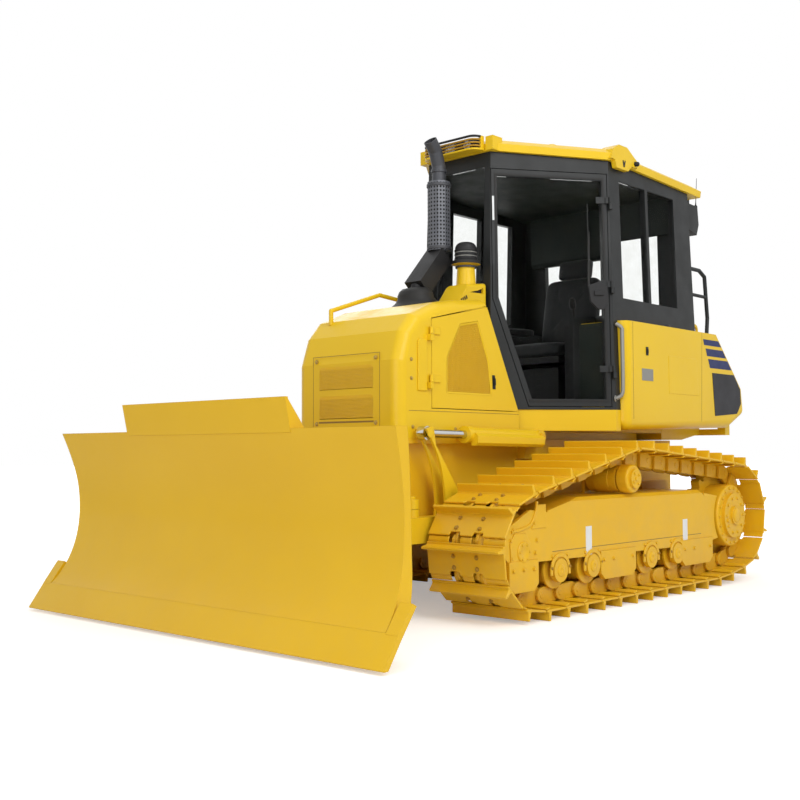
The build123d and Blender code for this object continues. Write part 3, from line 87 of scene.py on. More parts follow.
def frame_of(axis):
    """Two unit vectors square to an axis, and the axis itself, as rows."""
    a = np.asarray(axis, float)
    a = a / np.linalg.norm(a)
    u = np.cross(along_z if abs(a[2]) < 0.9 else along_x, a)
    u = u / np.linalg.norm(u)
    return np.array([u, np.cross(a, u), a])


def lathe(profile, base, axis, sides=24):
    """Points r(t), h(t) of a profile turned about an axis: base + r cos(a) u + r sin(a) v + h w."""
    p = np.asarray(profile, float)
    u, v, w = frame_of(axis)
    a = np.linspace(0, 2 * np.pi, sides, endpoint=False)
    ring = np.cos(a)[:, None] * u + np.sin(a)[:, None] * v
    verts = np.asarray(base, float) + p[:, :1, None] * ring + p[:, 1:, None] * w
    return verts.reshape(-1, 3), grid(len(p), sides)


def smooth_path(points, steps=8):
    """A Catmull-Rom curve through the points, each span cut in equal steps."""
    p = np.asarray(points, float)
    q = np.vstack([2 * p[0] - p[1], p, 2 * p[-1] - p[-2]])
    t = np.linspace(0, 1, steps, endpoint=False)[:, None]
    a, b, c, d = q[:-3, None], q[1:-2, None], q[2:-1, None], q[3:, None]
    bend, twist = 2 * a - 5 * b + 4 * c - d, 3 * b - a - 3 * c + d
    curve = 0.5 * (2 * b + (c - a) * t + bend * t ** 2 + twist * t ** 3)
    return np.vstack([curve.reshape(-1, 3), p[-1:]])


def tube(path, radius, sides=10):
    """A circle carried along a path: each ring lies square to the mean direction there; ends are closed."""
    p = np.asarray(path, float)
    r = np.broadcast_to(np.asarray(radius, float), (len(p),))
    along = np.gradient(p, axis=0)
    along /= np.linalg.norm(along, axis=1, keepdims=True)
    u = np.cross(along, [0.37, 0.21, 0.9])
    u /= np.linalg.norm(u, axis=1, keepdims=True)
    v = np.cross(along, u)
    a = np.linspace(0, 2 * np.pi, sides, endpoint=False)
    circles = np.cos(a)[None, :, None] * u[:, None] + np.sin(a)[None, :, None] * v[:, None]
    rings = p[:, None] + r[:, None, None] * circles
    ends = [list(range(sides)), list(range((len(p) - 1) * sides, len(p) * sides))]
    return rings.reshape(-1, 3), grid(len(p), sides) + ends


def prism_faces(n):
    """Sides, then both ends, of a prism whose outline of n points is listed twice."""
    sides = [[k, (k + 1) % n, n + (k + 1) % n, n + k] for k in range(n)]
    return sides + [list(range(n)), list(range(n, 2 * n))]


def slab(outline, origin, u, v, depth):
    """A flat outline (a, b) carried along u x v: origin + a u + b v + t depth (u x v), t from 0 to 1."""
    o = np.asarray(outline, float)
    u, v = np.asarray(u, float), np.asarray(v, float)
    flat = np.asarray(origin, float) + o[:, :1] * u + o[:, 1:] * v
    return np.vstack([flat, flat + depth * np.cross(u, v)]), prism_faces(len(o))


def side_slab(outline, y, thick):
    """An outline (x, z) on the plane at y, carried to the left by a thickness."""
    return slab(outline, (0, y, 0), along_x, along_z, -thick)


def front_slab(outline, x, thick):
    """An outline (y, z) on the plane at x, carried forwards by a thickness."""
    return slab(outline, (x, 0, 0), along_y, along_z, thick)


def oblong(a0, a1, b0, b1):
    """The outline of a rectangle from a0 to a1 and from b0 to b1."""
    return [(a0, b0), (a1, b0), (a1, b1), (a0, b1)]


def block(low, high):
    """A box between two corners, for the bevel that follows."""
    (x, y, z), (a, b, c) = low, high
    return slab(oblong(x, a, y, b), (0, 0, z), along_x, along_y, c - z)


def joined(*parts):
    """Several (points, faces) pairs as one."""
    verts, faces, n = [], [], 0
    for p, f in parts:
        verts.append(np.asarray(p, float))
        faces += [[n + i for i in q] for q in f]
        n += len(p)
    return np.vstack(verts), faces


def copies(part, places):
    """One small part at many places, each a 4 x 3 array of axes u, v, w and a point: p + a u + b v + c w."""
    verts, faces = part
    verts = np.asarray(verts, float)
    places = np.asarray(places, float)
    out = np.einsum("nk,mkj->mnj", verts, places[:, :3]) + places[:, 3][:, None]
    n = len(verts)
    return out.reshape(-1, 3), [[m * n + i for i in f] for m in range(len(places)) for f in faces]


def bevel(obj, width, segments=2):
    """Rounds a piece's edges by a width in millimetres."""
    mod = obj.modifiers.new("edge", "BEVEL")
    mod.width = width * mm
    mod.segments = segments
    mod.limit_method = "ANGLE"
    mod.angle_limit = math.radians(35)
    return obj


def hard_piece(name, part, finish, round_by=0.0, segments=2, body="machine"):
    """A flat-shaded piece with its edges rounded by a bevel where a width is given."""
    obj = piece(name, *part, finish, body=body, smooth=False)
    return bevel(obj, round_by, segments) if round_by else obj


def mirrored(part):
    """The same points on the other side of the machine."""
    verts, faces = part
    return np.asarray(verts, float) * [1, -1, 1], [list(reversed(f)) for f in faces]


def both(part):
    """A part and its mirror image, joined."""
    return joined(part, mirrored(part))


def on_side(part, label):
    """A left-hand part as it is, or mirrored for the right."""
    return part if label == "left" else mirrored(part)


def signed_power(x, e):
    """|x| to a power, with the sign of x."""
    return np.sign(x) * np.abs(x) ** e


bolt_head = joined(lathe([(0, 0), (11, 0), (11, 2), (0, 2)], (0, 0, 0), along_z, 12),
                   lathe([(8, 1.5), (8, 7.5), (6.5, 8.6), (0, 8.6)], (0, 0, 0), along_z, 6))


def bolt_ring(centre, radius, count, size=1.0, start=0.0):
    """Bolt heads at equal angles on a circle about a sideways axis."""
    u, v, w = frame_of(along_y)
    a = start + np.arange(count) * 2 * np.pi / count
    spots = np.asarray(centre, float) + radius * (np.cos(a)[:, None] * u + np.sin(a)[:, None] * v)
    return bolts(spots, along_y, size)


def bolts(spots, axis, size=1.0):
    """Bolt heads at given points, all along one axis."""
    turn = frame_of(axis) * size
    return copies(bolt_head, [np.vstack([turn, p]) for p in spots])


def side_bolts(y, spots, size=1.0):
    """Bolt heads at points (x, z) of a side face at y."""
    return bolts([(x, y, z) for x, z in spots], along_y, size)


# Finishes

vector_socket, colour_socket, number_socket = "NodeSocketVector", "NodeSocketColor", "NodeSocketFloat"
skin_outputs = [("Color", colour_socket), ("Roughness", number_socket), ("Height", number_socket)]


def group(name, inputs, outputs):
    """A shader node group with a Vector input, more named inputs, and named outputs."""
    tree = bpy.data.node_groups.new(name, "ShaderNodeTree")
    for label, kind, value in [("Vector", vector_socket, (0, 0, 0)), *inputs]:
        socket = tree.interface.new_socket(label, in_out="INPUT", socket_type=kind)
        socket.default_value = value
    for label, kind in outputs:
        tree.interface.new_socket(label, in_out="OUTPUT", socket_type=kind)
    return tree, tree.nodes.new("NodeGroupInput"), tree.nodes.new("NodeGroupOutput")


def noise(tree, vector, scale, detail=3.0, rough=0.55):
    """A noise texture on given coordinates; its factor socket."""
    node = tree.nodes.new("ShaderNodeTexNoise")
    node.inputs["Scale"].default_value = scale
    node.inputs["Detail"].default_value = detail
    node.inputs["Roughness"].default_value = rough
    tree.links.new(vector, node.inputs["Vector"])
    return node.outputs["Fac"]


def ranged(tree, value, low, high, to_low=0.0, to_high=1.0):
    """Maps a value from one range to another, held at the ends."""
    node = tree.nodes.new("ShaderNodeMapRange")
    for label, number in zip(("From Min", "From Max", "To Min", "To Max"), (low, high, to_low, to_high)):
        node.inputs[label].default_value = number
    tree.links.new(value, node.inputs["Value"])
    return node.outputs["Result"]


def feed(tree, socket, value):
    """Links a socket into another, or sets it to a plain value."""
    if hasattr(value, "links"):
        tree.links.new(value, socket)
    else:
        socket.default_value = value


def math_node(tree, kind, a, b):
    """One arithmetic node; a and b are sockets or numbers."""
    node = tree.nodes.new("ShaderNodeMath")
    node.operation = kind
    for k, x in enumerate((a, b)):
        feed(tree, node.inputs[k], x)
    return node.outputs[0]


def mixed(tree, factor, a, b, kind="MIX"):
    """Mixes two colours by a factor; each is a socket or an RGBA value."""
    node = tree.nodes.new("ShaderNodeMix")
    node.data_type = "RGBA"
    node.blend_type = kind
    for socket, x in ((node.inputs[0], factor), (node.inputs[6], a), (node.inputs[7], b)):
        feed(tree, socket, x)
    return node.outputs[2]


def paint_skin_group():
    """Sprayed paint: a slow change of tone, a fine orange-peel height, and dust that thickens downwards."""
    tree, gi, go = group("paint_skin", [("Color", colour_socket, (1, 1, 1, 1)), ("Dust", number_socket, 0.2),
                                        ("Dust Top", number_socket, 1.0)], skin_outputs)
    vec = gi.outputs["Vector"]
    tone = ranged(tree, noise(tree, vec, 1.7, 2.0), 0.3, 0.7, 0.0, 1.0)
    shade = mixed(tree, 1.0, gi.outputs["Color"], (0.93, 0.90, 0.82, 1), "MULTIPLY")
    colour = mixed(tree, ranged(tree, tone, 0.0, 1.0, 0.0, 0.55), gi.outputs["Color"], shade)
    split = tree.nodes.new("ShaderNodeSeparateXYZ")
    tree.links.new(vec, split.inputs[0])
    height = math_node(tree, "DIVIDE", split.outputs["Z"], gi.outputs["Dust Top"])
    low = ranged(tree, height, 0.0, 1.0, 1.0, 0.0)
    patch = ranged(tree, noise(tree, vec, 9.0, 6.0, 0.65), 0.42, 0.72)
    dust = math_node(tree, "MULTIPLY", math_node(tree, "MULTIPLY", low, patch), gi.outputs["Dust"])
    tree.links.new(mixed(tree, dust, colour, (0.40, 0.30, 0.17, 1)), go.inputs["Color"])
    peel = noise(tree, vec, 420.0, 2.0)
    wave = noise(tree, vec, 26.0, 2.0)
    tree.links.new(math_node(tree, "ADD", math_node(tree, "MULTIPLY", peel, 0.35), wave), go.inputs["Height"])
    dull = ranged(tree, wave, 0.3, 0.7, 0.30, 0.40)
    rough = math_node(tree, "ADD", math_node(tree, "MULTIPLY", dust, 0.5), dull)
    tree.links.new(rough, go.inputs["Roughness"])
    return tree


def grain_group():
    """Moulded or cast grain: a fine and a slow noise give a height, and the slow one a change of tone."""
    tree, gi, go = group("grain", [("Color", colour_socket, (0.1, 0.1, 0.1, 1)), ("Scale", number_socket, 300),
                                   ("Tone", number_socket, 0.3)], skin_outputs)
    vec = gi.outputs["Vector"]
    fine = tree.nodes.new("ShaderNodeTexNoise")
    fine.inputs["Detail"].default_value = 4.0
    tree.links.new(vec, fine.inputs["Vector"])
    tree.links.new(gi.outputs["Scale"], fine.inputs["Scale"])
    slow = noise(tree, vec, 6.0, 4.0)
    lift = math_node(tree, "MULTIPLY", ranged(tree, slow, 0.35, 0.7), gi.outputs["Tone"])
    pale = mixed(tree, 1.0, gi.outputs["Color"], (0.05, 0.047, 0.042, 1), "ADD")
    tree.links.new(mixed(tree, lift, gi.outputs["Color"], pale), go.inputs["Color"])
    height = math_node(tree, "ADD", fine.outputs["Fac"], math_node(tree, "MULTIPLY", slow, 0.4))
    tree.links.new(height, go.inputs["Height"])
    tree.links.new(ranged(tree, slow, 0.3, 0.7, 0.42, 0.62), go.inputs["Roughness"])
    return tree


def smudge_group():
    """Handled gloss: slow patches move the roughness between two values and darken the colour a little."""
    tree, gi, go = group("smudge", [("Color", colour_socket, (1, 1, 1, 1)), ("Low", number_socket, 0.1),
                                    ("High", number_socket, 0.2)], skin_outputs[:2])
    patch = ranged(tree, noise(tree, gi.outputs["Vector"], 14.0, 5.0, 0.6), 0.35, 0.7)
    span = math_node(tree, "SUBTRACT", gi.outputs["High"], gi.outputs["Low"])
    rough = math_node(tree, "ADD", math_node(tree, "MULTIPLY", patch, span), gi.outputs["Low"])
    tree.links.new(rough, go.inputs["Roughness"])
    dim = mixed(tree, 1.0, gi.outputs["Color"], (0.95, 0.95, 0.94, 1), "MULTIPLY")
    tree.links.new(mixed(tree, patch, gi.outputs["Color"], dim), go.inputs["Color"])
    return tree


def hole_group():
    """Punched holes on an upright tube: angle and height make a grid, and each cell's middle is a hole."""
    tree, gi, go = group("holes", [("Around", number_socket, 22.0), ("Pitch", number_socket, 0.0235),
                                   ("Radius", number_socket, 0.27)], [("Mask", number_socket)])
    split = tree.nodes.new("ShaderNodeSeparateXYZ")
    tree.links.new(gi.outputs["Vector"], split.inputs[0])
    turn = math_node(tree, "ARCTAN2", split.outputs["Y"], split.outputs["X"])
    u = math_node(tree, "MULTIPLY", math_node(tree, "DIVIDE", turn, math.tau), gi.outputs["Around"])
    v = math_node(tree, "DIVIDE", split.outputs["Z"], gi.outputs["Pitch"])
    cell = tree.nodes.new("ShaderNodeCombineXYZ")
    tree.links.new(u, cell.inputs["X"])
    tree.links.new(v, cell.inputs["Y"])
    dots = tree.nodes.new("ShaderNodeTexVoronoi")
    dots.inputs["Scale"].default_value = 1.0
    dots.inputs["Randomness"].default_value = 0.0
    tree.links.new(cell.outputs["Vector"], dots.inputs["Vector"])
    edge = math_node(tree, "SUBTRACT", gi.outputs["Radius"], dots.outputs["Distance"])
    tree.links.new(ranged(tree, edge, -0.03, 0.03), go.inputs["Mask"])
    return tree


paint_skin = paint_skin_group()
grain = grain_group()
smudge = smudge_group()
holes = hole_group()


def finish(name, **sockets):
    """A material with its Principled shader; plain values are set on the shader's own sockets."""
    mat = bpy.data.materials.new(name)
    mat.use_nodes = True
    shader = mat.node_tree.nodes["Principled BSDF"]
    for label, value in sockets.items():
        shader.inputs[label.replace("_", " ")].default_value = value
    return mat, mat.node_tree, shader


def object_vector(tree):
    """The object's own coordinates, which are the machine's at rest."""
    return tree.nodes.new("ShaderNodeTexCoord").outputs["Object"]


def skin_node(tree, effect, vector=None, **values):
    """An effect's node group placed in a material with its own values; it reads the object's coordinates."""
    skin = tree.nodes.new("ShaderNodeGroup")
    skin.node_tree = effect
    tree.links.new(vector or object_vector(tree), skin.inputs["Vector"])
    for label, value in values.items():
        skin.inputs[label.replace("_", " ")].default_value = (*value, 1) if label == "Color" else value
    return skin


def bumped(tree, shader, height, strength, distance, soft=0.0):
    """Height into the shader's normal, over edges rounded by a small radius."""
    bump = tree.nodes.new("ShaderNodeBump")
    bump.inputs["Strength"].default_value = strength
    bump.inputs["Distance"].default_value = distance
    tree.links.new(height, bump.inputs["Height"])
    if soft:
        edge = tree.nodes.new("ShaderNodeBevel")
        edge.samples = 4
        edge.inputs["Radius"].default_value = soft
        tree.links.new(edge.outputs["Normal"], bump.inputs["Normal"])
    tree.links.new(bump.outputs["Normal"], shader.inputs["Normal"])


def paint(name, colour, dust, dust_top, soft=0.004, coat=0.10):
    """Gloss machine paint with its own colour and dust."""
    mat, tree, shader = finish(name, Coat_Weight=coat, Coat_Roughness=0.12, Specular_IOR_Level=0.25)
    skin = skin_node(tree, paint_skin, Color=colour, Dust=dust, Dust_Top=dust_top)
    tree.links.new(skin.outputs["Color"], shader.inputs["Base Color"])
    tree.links.new(skin.outputs["Roughness"], shader.inputs["Roughness"])
    bumped(tree, shader, skin.outputs["Height"], 0.12, 0.0012, soft)
    return mat


def grained(name, colour, scale, tone, strength=0.3, soft=0.0, **sockets):
    """Plastic, rubber or cast metal with a fine grain."""
    mat, tree, shader = finish(name, **sockets)
    skin = skin_node(tree, grain, Color=colour, Scale=scale, Tone=tone)
    tree.links.new(skin.outputs["Color"], shader.inputs["Base Color"])
    tree.links.new(skin.outputs["Roughness"], shader.inputs["Roughness"])
    bumped(tree, shader, skin.outputs["Height"], strength, 0.0008, soft)
    return mat


def polished(name, colour, low, high, **sockets):
    """Metal, glass or printed film whose tone changes in patches, and its gloss where low and high differ."""
    mat, tree, shader = finish(name, Roughness=low, **sockets)
    skin = skin_node(tree, smudge, Color=colour, Low=low, High=high)
    tree.links.new(skin.outputs["Color"], shader.inputs["Base Color"])
    if high > low:
        tree.links.new(skin.outputs["Roughness"], shader.inputs["Roughness"])
    return mat


stack_x, cleaner_x, cleaner_y = 300, 226, 150


def perforated(name, colour, **sockets):
    """Sheet steel round the exhaust stack with rows of punched holes, painted near black inside: partly the
    dark pipe behind, partly painted shade of the gap.
    """
    mat, tree, shader = finish(name, **sockets)
    centred = tree.nodes.new("ShaderNodeMapping")
    centred.inputs["Location"].default_value = (-stack_x * mm, 0, 0)
    tree.links.new(object_vector(tree), centred.inputs["Vector"])
    mask = skin_node(tree, holes, centred.outputs["Vector"]).outputs["Mask"]
    skin = skin_node(tree, grain, Color=colour)
    # Near black in the holes: painted shade of the gap behind the sheet.
    dark = mixed(tree, mask, skin.outputs["Color"], (0.006, 0.006, 0.007, 1))
    tree.links.new(dark, shader.inputs["Base Color"])
    tree.links.new(ranged(tree, mask, 0.0, 1.0, 0.38, 0.9), shader.inputs["Roughness"])
    bumped(tree, shader, math_node(tree, "SUBTRACT", 1.0, mask), 0.6, 0.002)
    return mat


yellow = paint("yellow_paint", (0.80, 0.53, 0.012), 0.10, 0.9)
# The blade takes a darker, deeper copy of the machine yellow: the darkening is painted shade for the blade's
# front, which gets less light.
gold = paint("blade_paint_shaded", (0.745, 0.455, 0.011), 0.05, 1.0)
# The nose louvres take a darker copy of the machine yellow: painted shade between the slats.
louvre_gold = paint("louvre_paint_shaded", (0.62, 0.36, 0.02), 0.15, 2.0)
# The undercarriage takes a darker, more orange copy of the machine yellow: painted shade of the low, less lit
# parts.
track_yellow = paint("track_paint_shaded", (0.79, 0.465, 0.012), 0.22, 0.9)
# The chain is painted yellow like the shoes; this still darker copy is painted shade on the links and pins.
chain_shaded = paint("chain_paint_shaded", (0.74, 0.42, 0.013), 0.22, 1.0, coat=0.05)
bolt_gold = paint("bolt_paint", (0.44, 0.24, 0.016), 0.3, 1.0, coat=0.05)
# Thin dark brown strips laid along panel joints and the beam's edge: painted shade in the gaps, not a colour
# of the joints.
painted_seam_shade = grained("painted_seam_shade", (0.26, 0.15, 0.012), 300.0, 0.3, 0.1)
bolt_brass = grained("bolt_brass", (0.46, 0.31, 0.06), 260.0, 0.4, 0.2, Metallic=0.3)
screen_gold = paint("screen_paint", (0.86, 0.53, 0.018), 0.1, 2.0)
charcoal = grained("charcoal_paint", (0.008, 0.0095, 0.010), 500.0, 0.12, 0.12, 0.004,
                   Coat_Weight=0.08, Specular_IOR_Level=0.3)
black = grained("black_plastic", (0.009, 0.009, 0.010), 700.0, 0.15, 0.3, Specular_IOR_Level=0.3)
rubber = grained("black_rubber", (0.010, 0.010, 0.010), 300.0, 0.25, 0.4, Specular_IOR_Level=0.25)
# The cab's lining is near black: partly its own dark trim, partly painted shade of the cab's inside seen
# through the glass.
lining_shaded = grained("cab_lining_shaded", (0.018, 0.024, 0.021), 420.0, 0.2, 0.35, Specular_IOR_Level=0.2)
seat_cloth = grained("seat_cloth", (0.012, 0.013, 0.014), 900.0, 0.25, 0.8,
                     Sheen_Weight=0.1, Specular_IOR_Level=0.2)
panel_dark = grained("panel_dark", (0.018, 0.018, 0.022), 500.0, 0.15, 0.15, Specular_IOR_Level=0.3)
bar_grey = grained("bar_grey", (0.26, 0.26, 0.24), 300.0, 0.4, 0.15, Metallic=0.4)
iron = grained("engine_iron", (0.05, 0.05, 0.052), 160.0, 0.5, 0.5)
stack_steel = grained("exhaust_steel", (0.050, 0.052, 0.060), 240.0, 0.3, 0.3, 0.003, Metallic=0.4)
shield_steel = perforated("shield_steel", (0.095, 0.10, 0.115), Metallic=0.4)
chrome = polished("rod_chrome", (0.62, 0.62, 0.60), 0.10, 0.20, Metallic=1.0)
lens = polished("lamp_lens", (0.90, 0.92, 0.93), 0.04, 0.10, Transmission_Weight=0.75, IOR=1.45)
reflector = polished("lamp_reflector", (0.80, 0.80, 0.80), 0.15, 0.24, Metallic=1.0)
# The panes mirror nothing in the photograph, and a low IOR keeps the dark cab behind them free of speckle.
glass = polished("clear_glass", (0.985, 0.995, 0.99), 0.0, 0.0, Transmission_Weight=1.0, IOR=1.03)
white_blank = polished("white_marker", (0.74, 0.76, 0.77), 0.35, 0.50)
stripe_blue = polished("stripe_blue", (0.014, 0.022, 0.105), 0.35, 0.5, Specular_IOR_Level=0.25)

finish_nodes = (
    (track_yellow, "track_left track_right idlers final_drives track_rollers carrier_rollers "
                   "track_frame_left track_frame_right main_frame drawbar"),
    (gold, "blade cutting_edge"),
    (charcoal, "cab_frame cab_door_left cab_door_right rear_rails"),
    (glass, "cab_glass door_glass_left door_glass_right"),
    (chrome, "lift_rod_left lift_rod_right angle_rod_left angle_rod_right tilt_rod"),
    (black, "cab_seat cab_console"),
    (louvre_gold, "nose_grille"),
    (iron, "engine_block"),
    (lens, "work_lamps"),
)
finishes = {name: skin for skin, names in finish_nodes for name in names.split()}
for name, obj in nodes.items():
    obj.data.materials.clear()
    obj.data.materials.append(finishes.get(name, yellow))


def finish_by_height(name, levels, skins):
    """Several finishes on one solid: each face takes the one for the height of its middle."""
    mesh = nodes[name].data
    mesh.materials.clear()
    for skin in skins:
        mesh.materials.append(skin)
    middle = np.empty(3 * len(mesh.polygons))
    mesh.polygons.foreach_get("center", middle)
    level = np.searchsorted(np.asarray(levels) * mm, middle[2::3])
    mesh.polygons.foreach_set("material_index", level.astype(np.int32))


finish_by_height("exhaust_stack", (2104, 2531), (black, shield_steel, stack_steel))
finish_by_height("air_precleaner", (2012,), (yellow, black))


# Track chain

link_half, link_wide, shoe_thick, lug_high, shoe_half = 45.0, 18.0, 12.0, 48.0, 250.0
shoe_count, chain_phase, track_y = 37, 0.6, 800.0
idler_x, idler_z = 764, 355
carrier_x, carrier_z = -300, 713
drive_x, drive_z = -1600, 440
belt = [(idler_x, idler_z, 250), (carrier_x, carrier_z, 129), (drive_x, drive_z, 290), (-1300, 235, 130)]


def chain_pins(circles, count, phase):
    """Pin centres at equal steps on a belt pulled tight round circles (x, z, r): front, top, rear, bottom.

    The belt is an arc on each circle and a common tangent to the next; a distance along it gives the point.
    """
    c = np.asarray(circles, float)
    d = np.roll(c, -1, axis=0)
    step = d[:, :2] - c[:, :2]
    apart = np.hypot(step[:, 0], step[:, 1])
    lean = np.arctan2(step[:, 1], step[:, 0]) - np.arccos((c[:, 2] - d[:, 2]) / apart)
    start = np.roll(lean, 1)
    turn = (lean - start) % (2 * np.pi)
    away = np.stack([np.cos(lean), np.sin(lean)], 1)
    leave = c[:, :2] + c[:, 2:] * away
    meet = d[:, :2] + d[:, 2:] * away
    lengths = np.stack([c[:, 2] * turn, np.linalg.norm(meet - leave, axis=1)], 1).ravel()
    edges = np.concatenate([[0], np.cumsum(lengths)])
    s = edges[-1] * ((np.arange(count) + phase) % count) / count
    run = np.clip(np.searchsorted(edges, s, "right") - 1, 0, len(lengths) - 1)
    k, left = run // 2, s - edges[run]
    a = start[k] + left / c[k, 2]
    on_arc = c[k, :2] + c[k, 2:] * np.stack([np.cos(a), np.sin(a)], 1)
    on_line = leave[k] + (left / lengths[run])[:, None] * (meet - leave)[k]
    return np.where((run % 2 == 0)[:, None], on_arc, on_line)


pins = chain_pins(belt, shoe_count, chain_phase)
ahead = np.roll(pins, -1, axis=0) - pins
pitch = float(np.linalg.norm(ahead, axis=1).mean())
ahead /= np.linalg.norm(ahead, axis=1, keepdims=True)


def link_places(y):
    """Axes of every link: along the chain, across it, and out towards the ground side, at its rear pin."""
    zero = np.zeros(len(pins))
    u = np.stack([ahead[:, 0], zero, ahead[:, 1]], 1)
    w = np.stack([ahead[:, 1], zero, -ahead[:, 0]], 1)
    return np.stack([u, np.cross(w, u), w, np.stack([pins[:, 0], zero + y, pins[:, 1]], 1)], 1)


def shoe():
    """One shoe: a plate with two clearance notches in its rear edge, a lug, and lips under the shoe behind.

    A lip is an arc about the pin, (-r sin t, r cos t), so it stays under the neighbour while the chain bends.
    """
    gap, notch, half, top = 3, 24, shoe_half, link_half + shoe_thick
    edge = [(gap, half), (gap, 112), (notch, 104), (notch, 46), (gap, 38), (gap, -38), (notch, -46),
            (notch, -104), (gap, -112), (gap, -half), (pitch - gap, -half), (pitch - gap, half)]
    plate = slab(edge, (0, 0, link_half + 0.5), along_x, along_y, shoe_thick - 0.5)
    lug = [(pitch - 46, top - 3), (pitch - 40, top + 8), (pitch - 36, top + lug_high),
           (pitch - 22, top + lug_high), (pitch - 18, top + 8), (pitch - 12, top - 3)]
    turn = np.radians(np.linspace(-4, 44, 7))
    arc = np.stack([-np.sin(turn), np.cos(turn)], 1)
    lip = np.vstack([arc * (link_half - 1.0), arc[::-1] * (link_half - 8.0)])
    lips = [side_slab(lip, y, width) for y, width in ((-half, 138), (-36, 72), (112, 138))]
    return joined(plate, side_slab(lug, -half, 2 * half), *lips)


def link():
    """A link pair: on each side an inner half round the rear pin and an outer half round the front pin."""
    end, near, far = pitch / 2 + 6, 56.5, 75.5
    rear = [(end, 45), (16, 45), (-14, 38), (-33, 20), (-40, 0), (-33, -20), (-14, -36), (22, -45),
            (end, -45)]
    front = [(pitch - a, c) for a, c in rear]
    halves = (rear, near), (front, far), (rear, -near - link_wide), (front, -far - link_wide)
    return joined(*[side_slab(outline, y, link_wide) for outline, y in halves])


pin = [(0, -96), (15, -96), (18, -93), (18, 93), (15, 96), (0, 96)]
pin_ends = joined(lathe(pin, (0, 0, 0), along_y, 14),
                  lathe([(19, -56), (29, -56), (29, 56), (19, 56)], (0, 0, 0), along_y, 14))
shoe_bolts = copies(bolt_head, [np.vstack([np.eye(3) * 1.15, (a, b, link_half + shoe_thick)])
                                for a in (46, 104) for b in (-75, 75)])
for label, y in (("left", track_y), ("right", -track_y)):
    places = link_places(y)
    shoes = hard_piece(f"track_shoes_{label}", copies(shoe(), places), track_yellow, 2.5, 1)
    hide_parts(f"track_{label}")
    hard_piece(f"chain_links_{label}", copies(link(), places), chain_shaded, 2.0, 1)
    piece(f"chain_pins_{label}", *copies(pin_ends, places), chain_shaded)
    piece(f"shoe_bolts_{label}", *copies(shoe_bolts, places), bolt_gold)


# Undercarriage fittings

frame_face, guard_face, marker_face = 949.5, 959.5, 950
roller_xs, roller_z = (430, 106, -542, -866), 235.3
drive_axis, carrier_axis, idler_axis = (drive_x, 0, drive_z), (carrier_x, 0, carrier_z), (idler_x, 0, idler_z)

turn = np.radians(np.linspace(14, 166, 15))
ring = np.stack([np.cos(turn), np.sin(turn)], 1)
arch = np.vstack([94 * ring, 72 * ring[::-1]])
arch_feet = [(-94, 22), (-94, -24), (-74, -24), (-74, 20)], [(74, 20), (74, -24), (94, -24), (94, 22)]
arches = joined(*[side_slab(np.asarray(o) + (x, roller_z), frame_face, 9.0)
                  for x in roller_xs for o in (arch, *arch_feet)])
hard_piece("roller_arches", both(arches), track_yellow, 2.0, 1)
arch_bolts = side_bolts(958, [(x + s * 84, 252) for x in roller_xs for s in (-1, 1)], 0.8)
piece("roller_arch_bolts", *both(arch_bolts), bolt_gold)

hub = [(48, 1001), (48, 1006), (43, 1010), (20, 1012), (0, 1012)]
plug = [(14, 985), (14, 996), (11, 999), (0, 999)]
drive_cap = joined(bolt_ring((drive_x, 967.5, drive_z), 184, 18, 1.15),
                   bolt_ring((drive_x, 989.5, drive_z), 118, 10, 1.1),
                   lathe(hub, drive_axis, along_y, 32),
                   lathe(plug, (drive_x + 100, 0, drive_z - 30), along_y, 12))
carrier_cap = joined(bolt_ring((carrier_x, 999.5, carrier_z), 36, 4, 0.9, 0.6),
                     lathe([(14, 998), (14, 1004), (10, 1006), (0, 1006)], carrier_axis, along_y, 14))
idler_profile = [(56, 948), (56, 958), (52, 962), (30, 963), (26, 960), (0, 960)]
idler_spots = (870, 420), (845, 470), (665, 500), (640, 410), (860, 330), (655, 345)
idler_cap = joined(lathe(idler_profile, idler_axis, along_y, 28),
                   bolt_ring((idler_x, 961.5, idler_z), 41, 6, 0.7),
                   side_bolts(frame_face, idler_spots, 1.2))
guard_spots = ((860, 265), (770, 265), (680, 265), (0, 262), (-105, 262), (-315, 262),
               (-950, 255), (-1075, 255), (-1295, 255))
guard_bolts = side_bolts(guard_face, guard_spots, 1.15)
beam_bolts = side_bolts(frame_face, [(x, 315) for x in (360, 500, 180, 40, -470, -610, -790, -930)])
collar = [(34, 957), (34, 962), (28, 965), (12, 965), (9, 962), (0, 962)]
collars = joined(*[lathe(collar, (x, 0, roller_z), along_y, 18) for x in roller_xs])
fasteners = joined(drive_cap, carrier_cap, idler_cap, guard_bolts, beam_bolts, collars)
piece("undercarriage_bolts", *both(fasteners), track_yellow)

yoke_edge = [(712, 300), (872, 300), (880, 402), (842, 452), (744, 452), (706, 404)]
yoke = joined(side_slab(yoke_edge, frame_face, 6.0),
              side_slab([(560, 470), (690, 470), (664, 520), (632, 596), (560, 596)], frame_face, 5.0))
hard_piece("idler_yokes", both(yoke), track_yellow, 3.0)
rim_points = [(634, 947, 612), (650, 950, 560), (690, 950, 500), (760, 950, 476), (866, 950, 462)]
piece("frame_rims", *both(tube(smooth_path(rim_points, 6), 9.0, 10)), track_yellow)
# A dark strip along the track frame beam: a painted shade line.
hard_piece("beam_seam_shade", both(side_slab(oblong(-1190, 500, 338, 342), 950.6, -1.2)), painted_seam_shade)
markers = joined(*[side_slab(oblong(x - 30, x + 30, z - 80, z + 80), marker_face, 1.2)
                   for x, z in ((142, 377), (-975, 363))])
hard_piece("beam_markers", markers, white_blank)


# Hood and nose fittings

hood_side, nose_x = 399.6, 1109.5


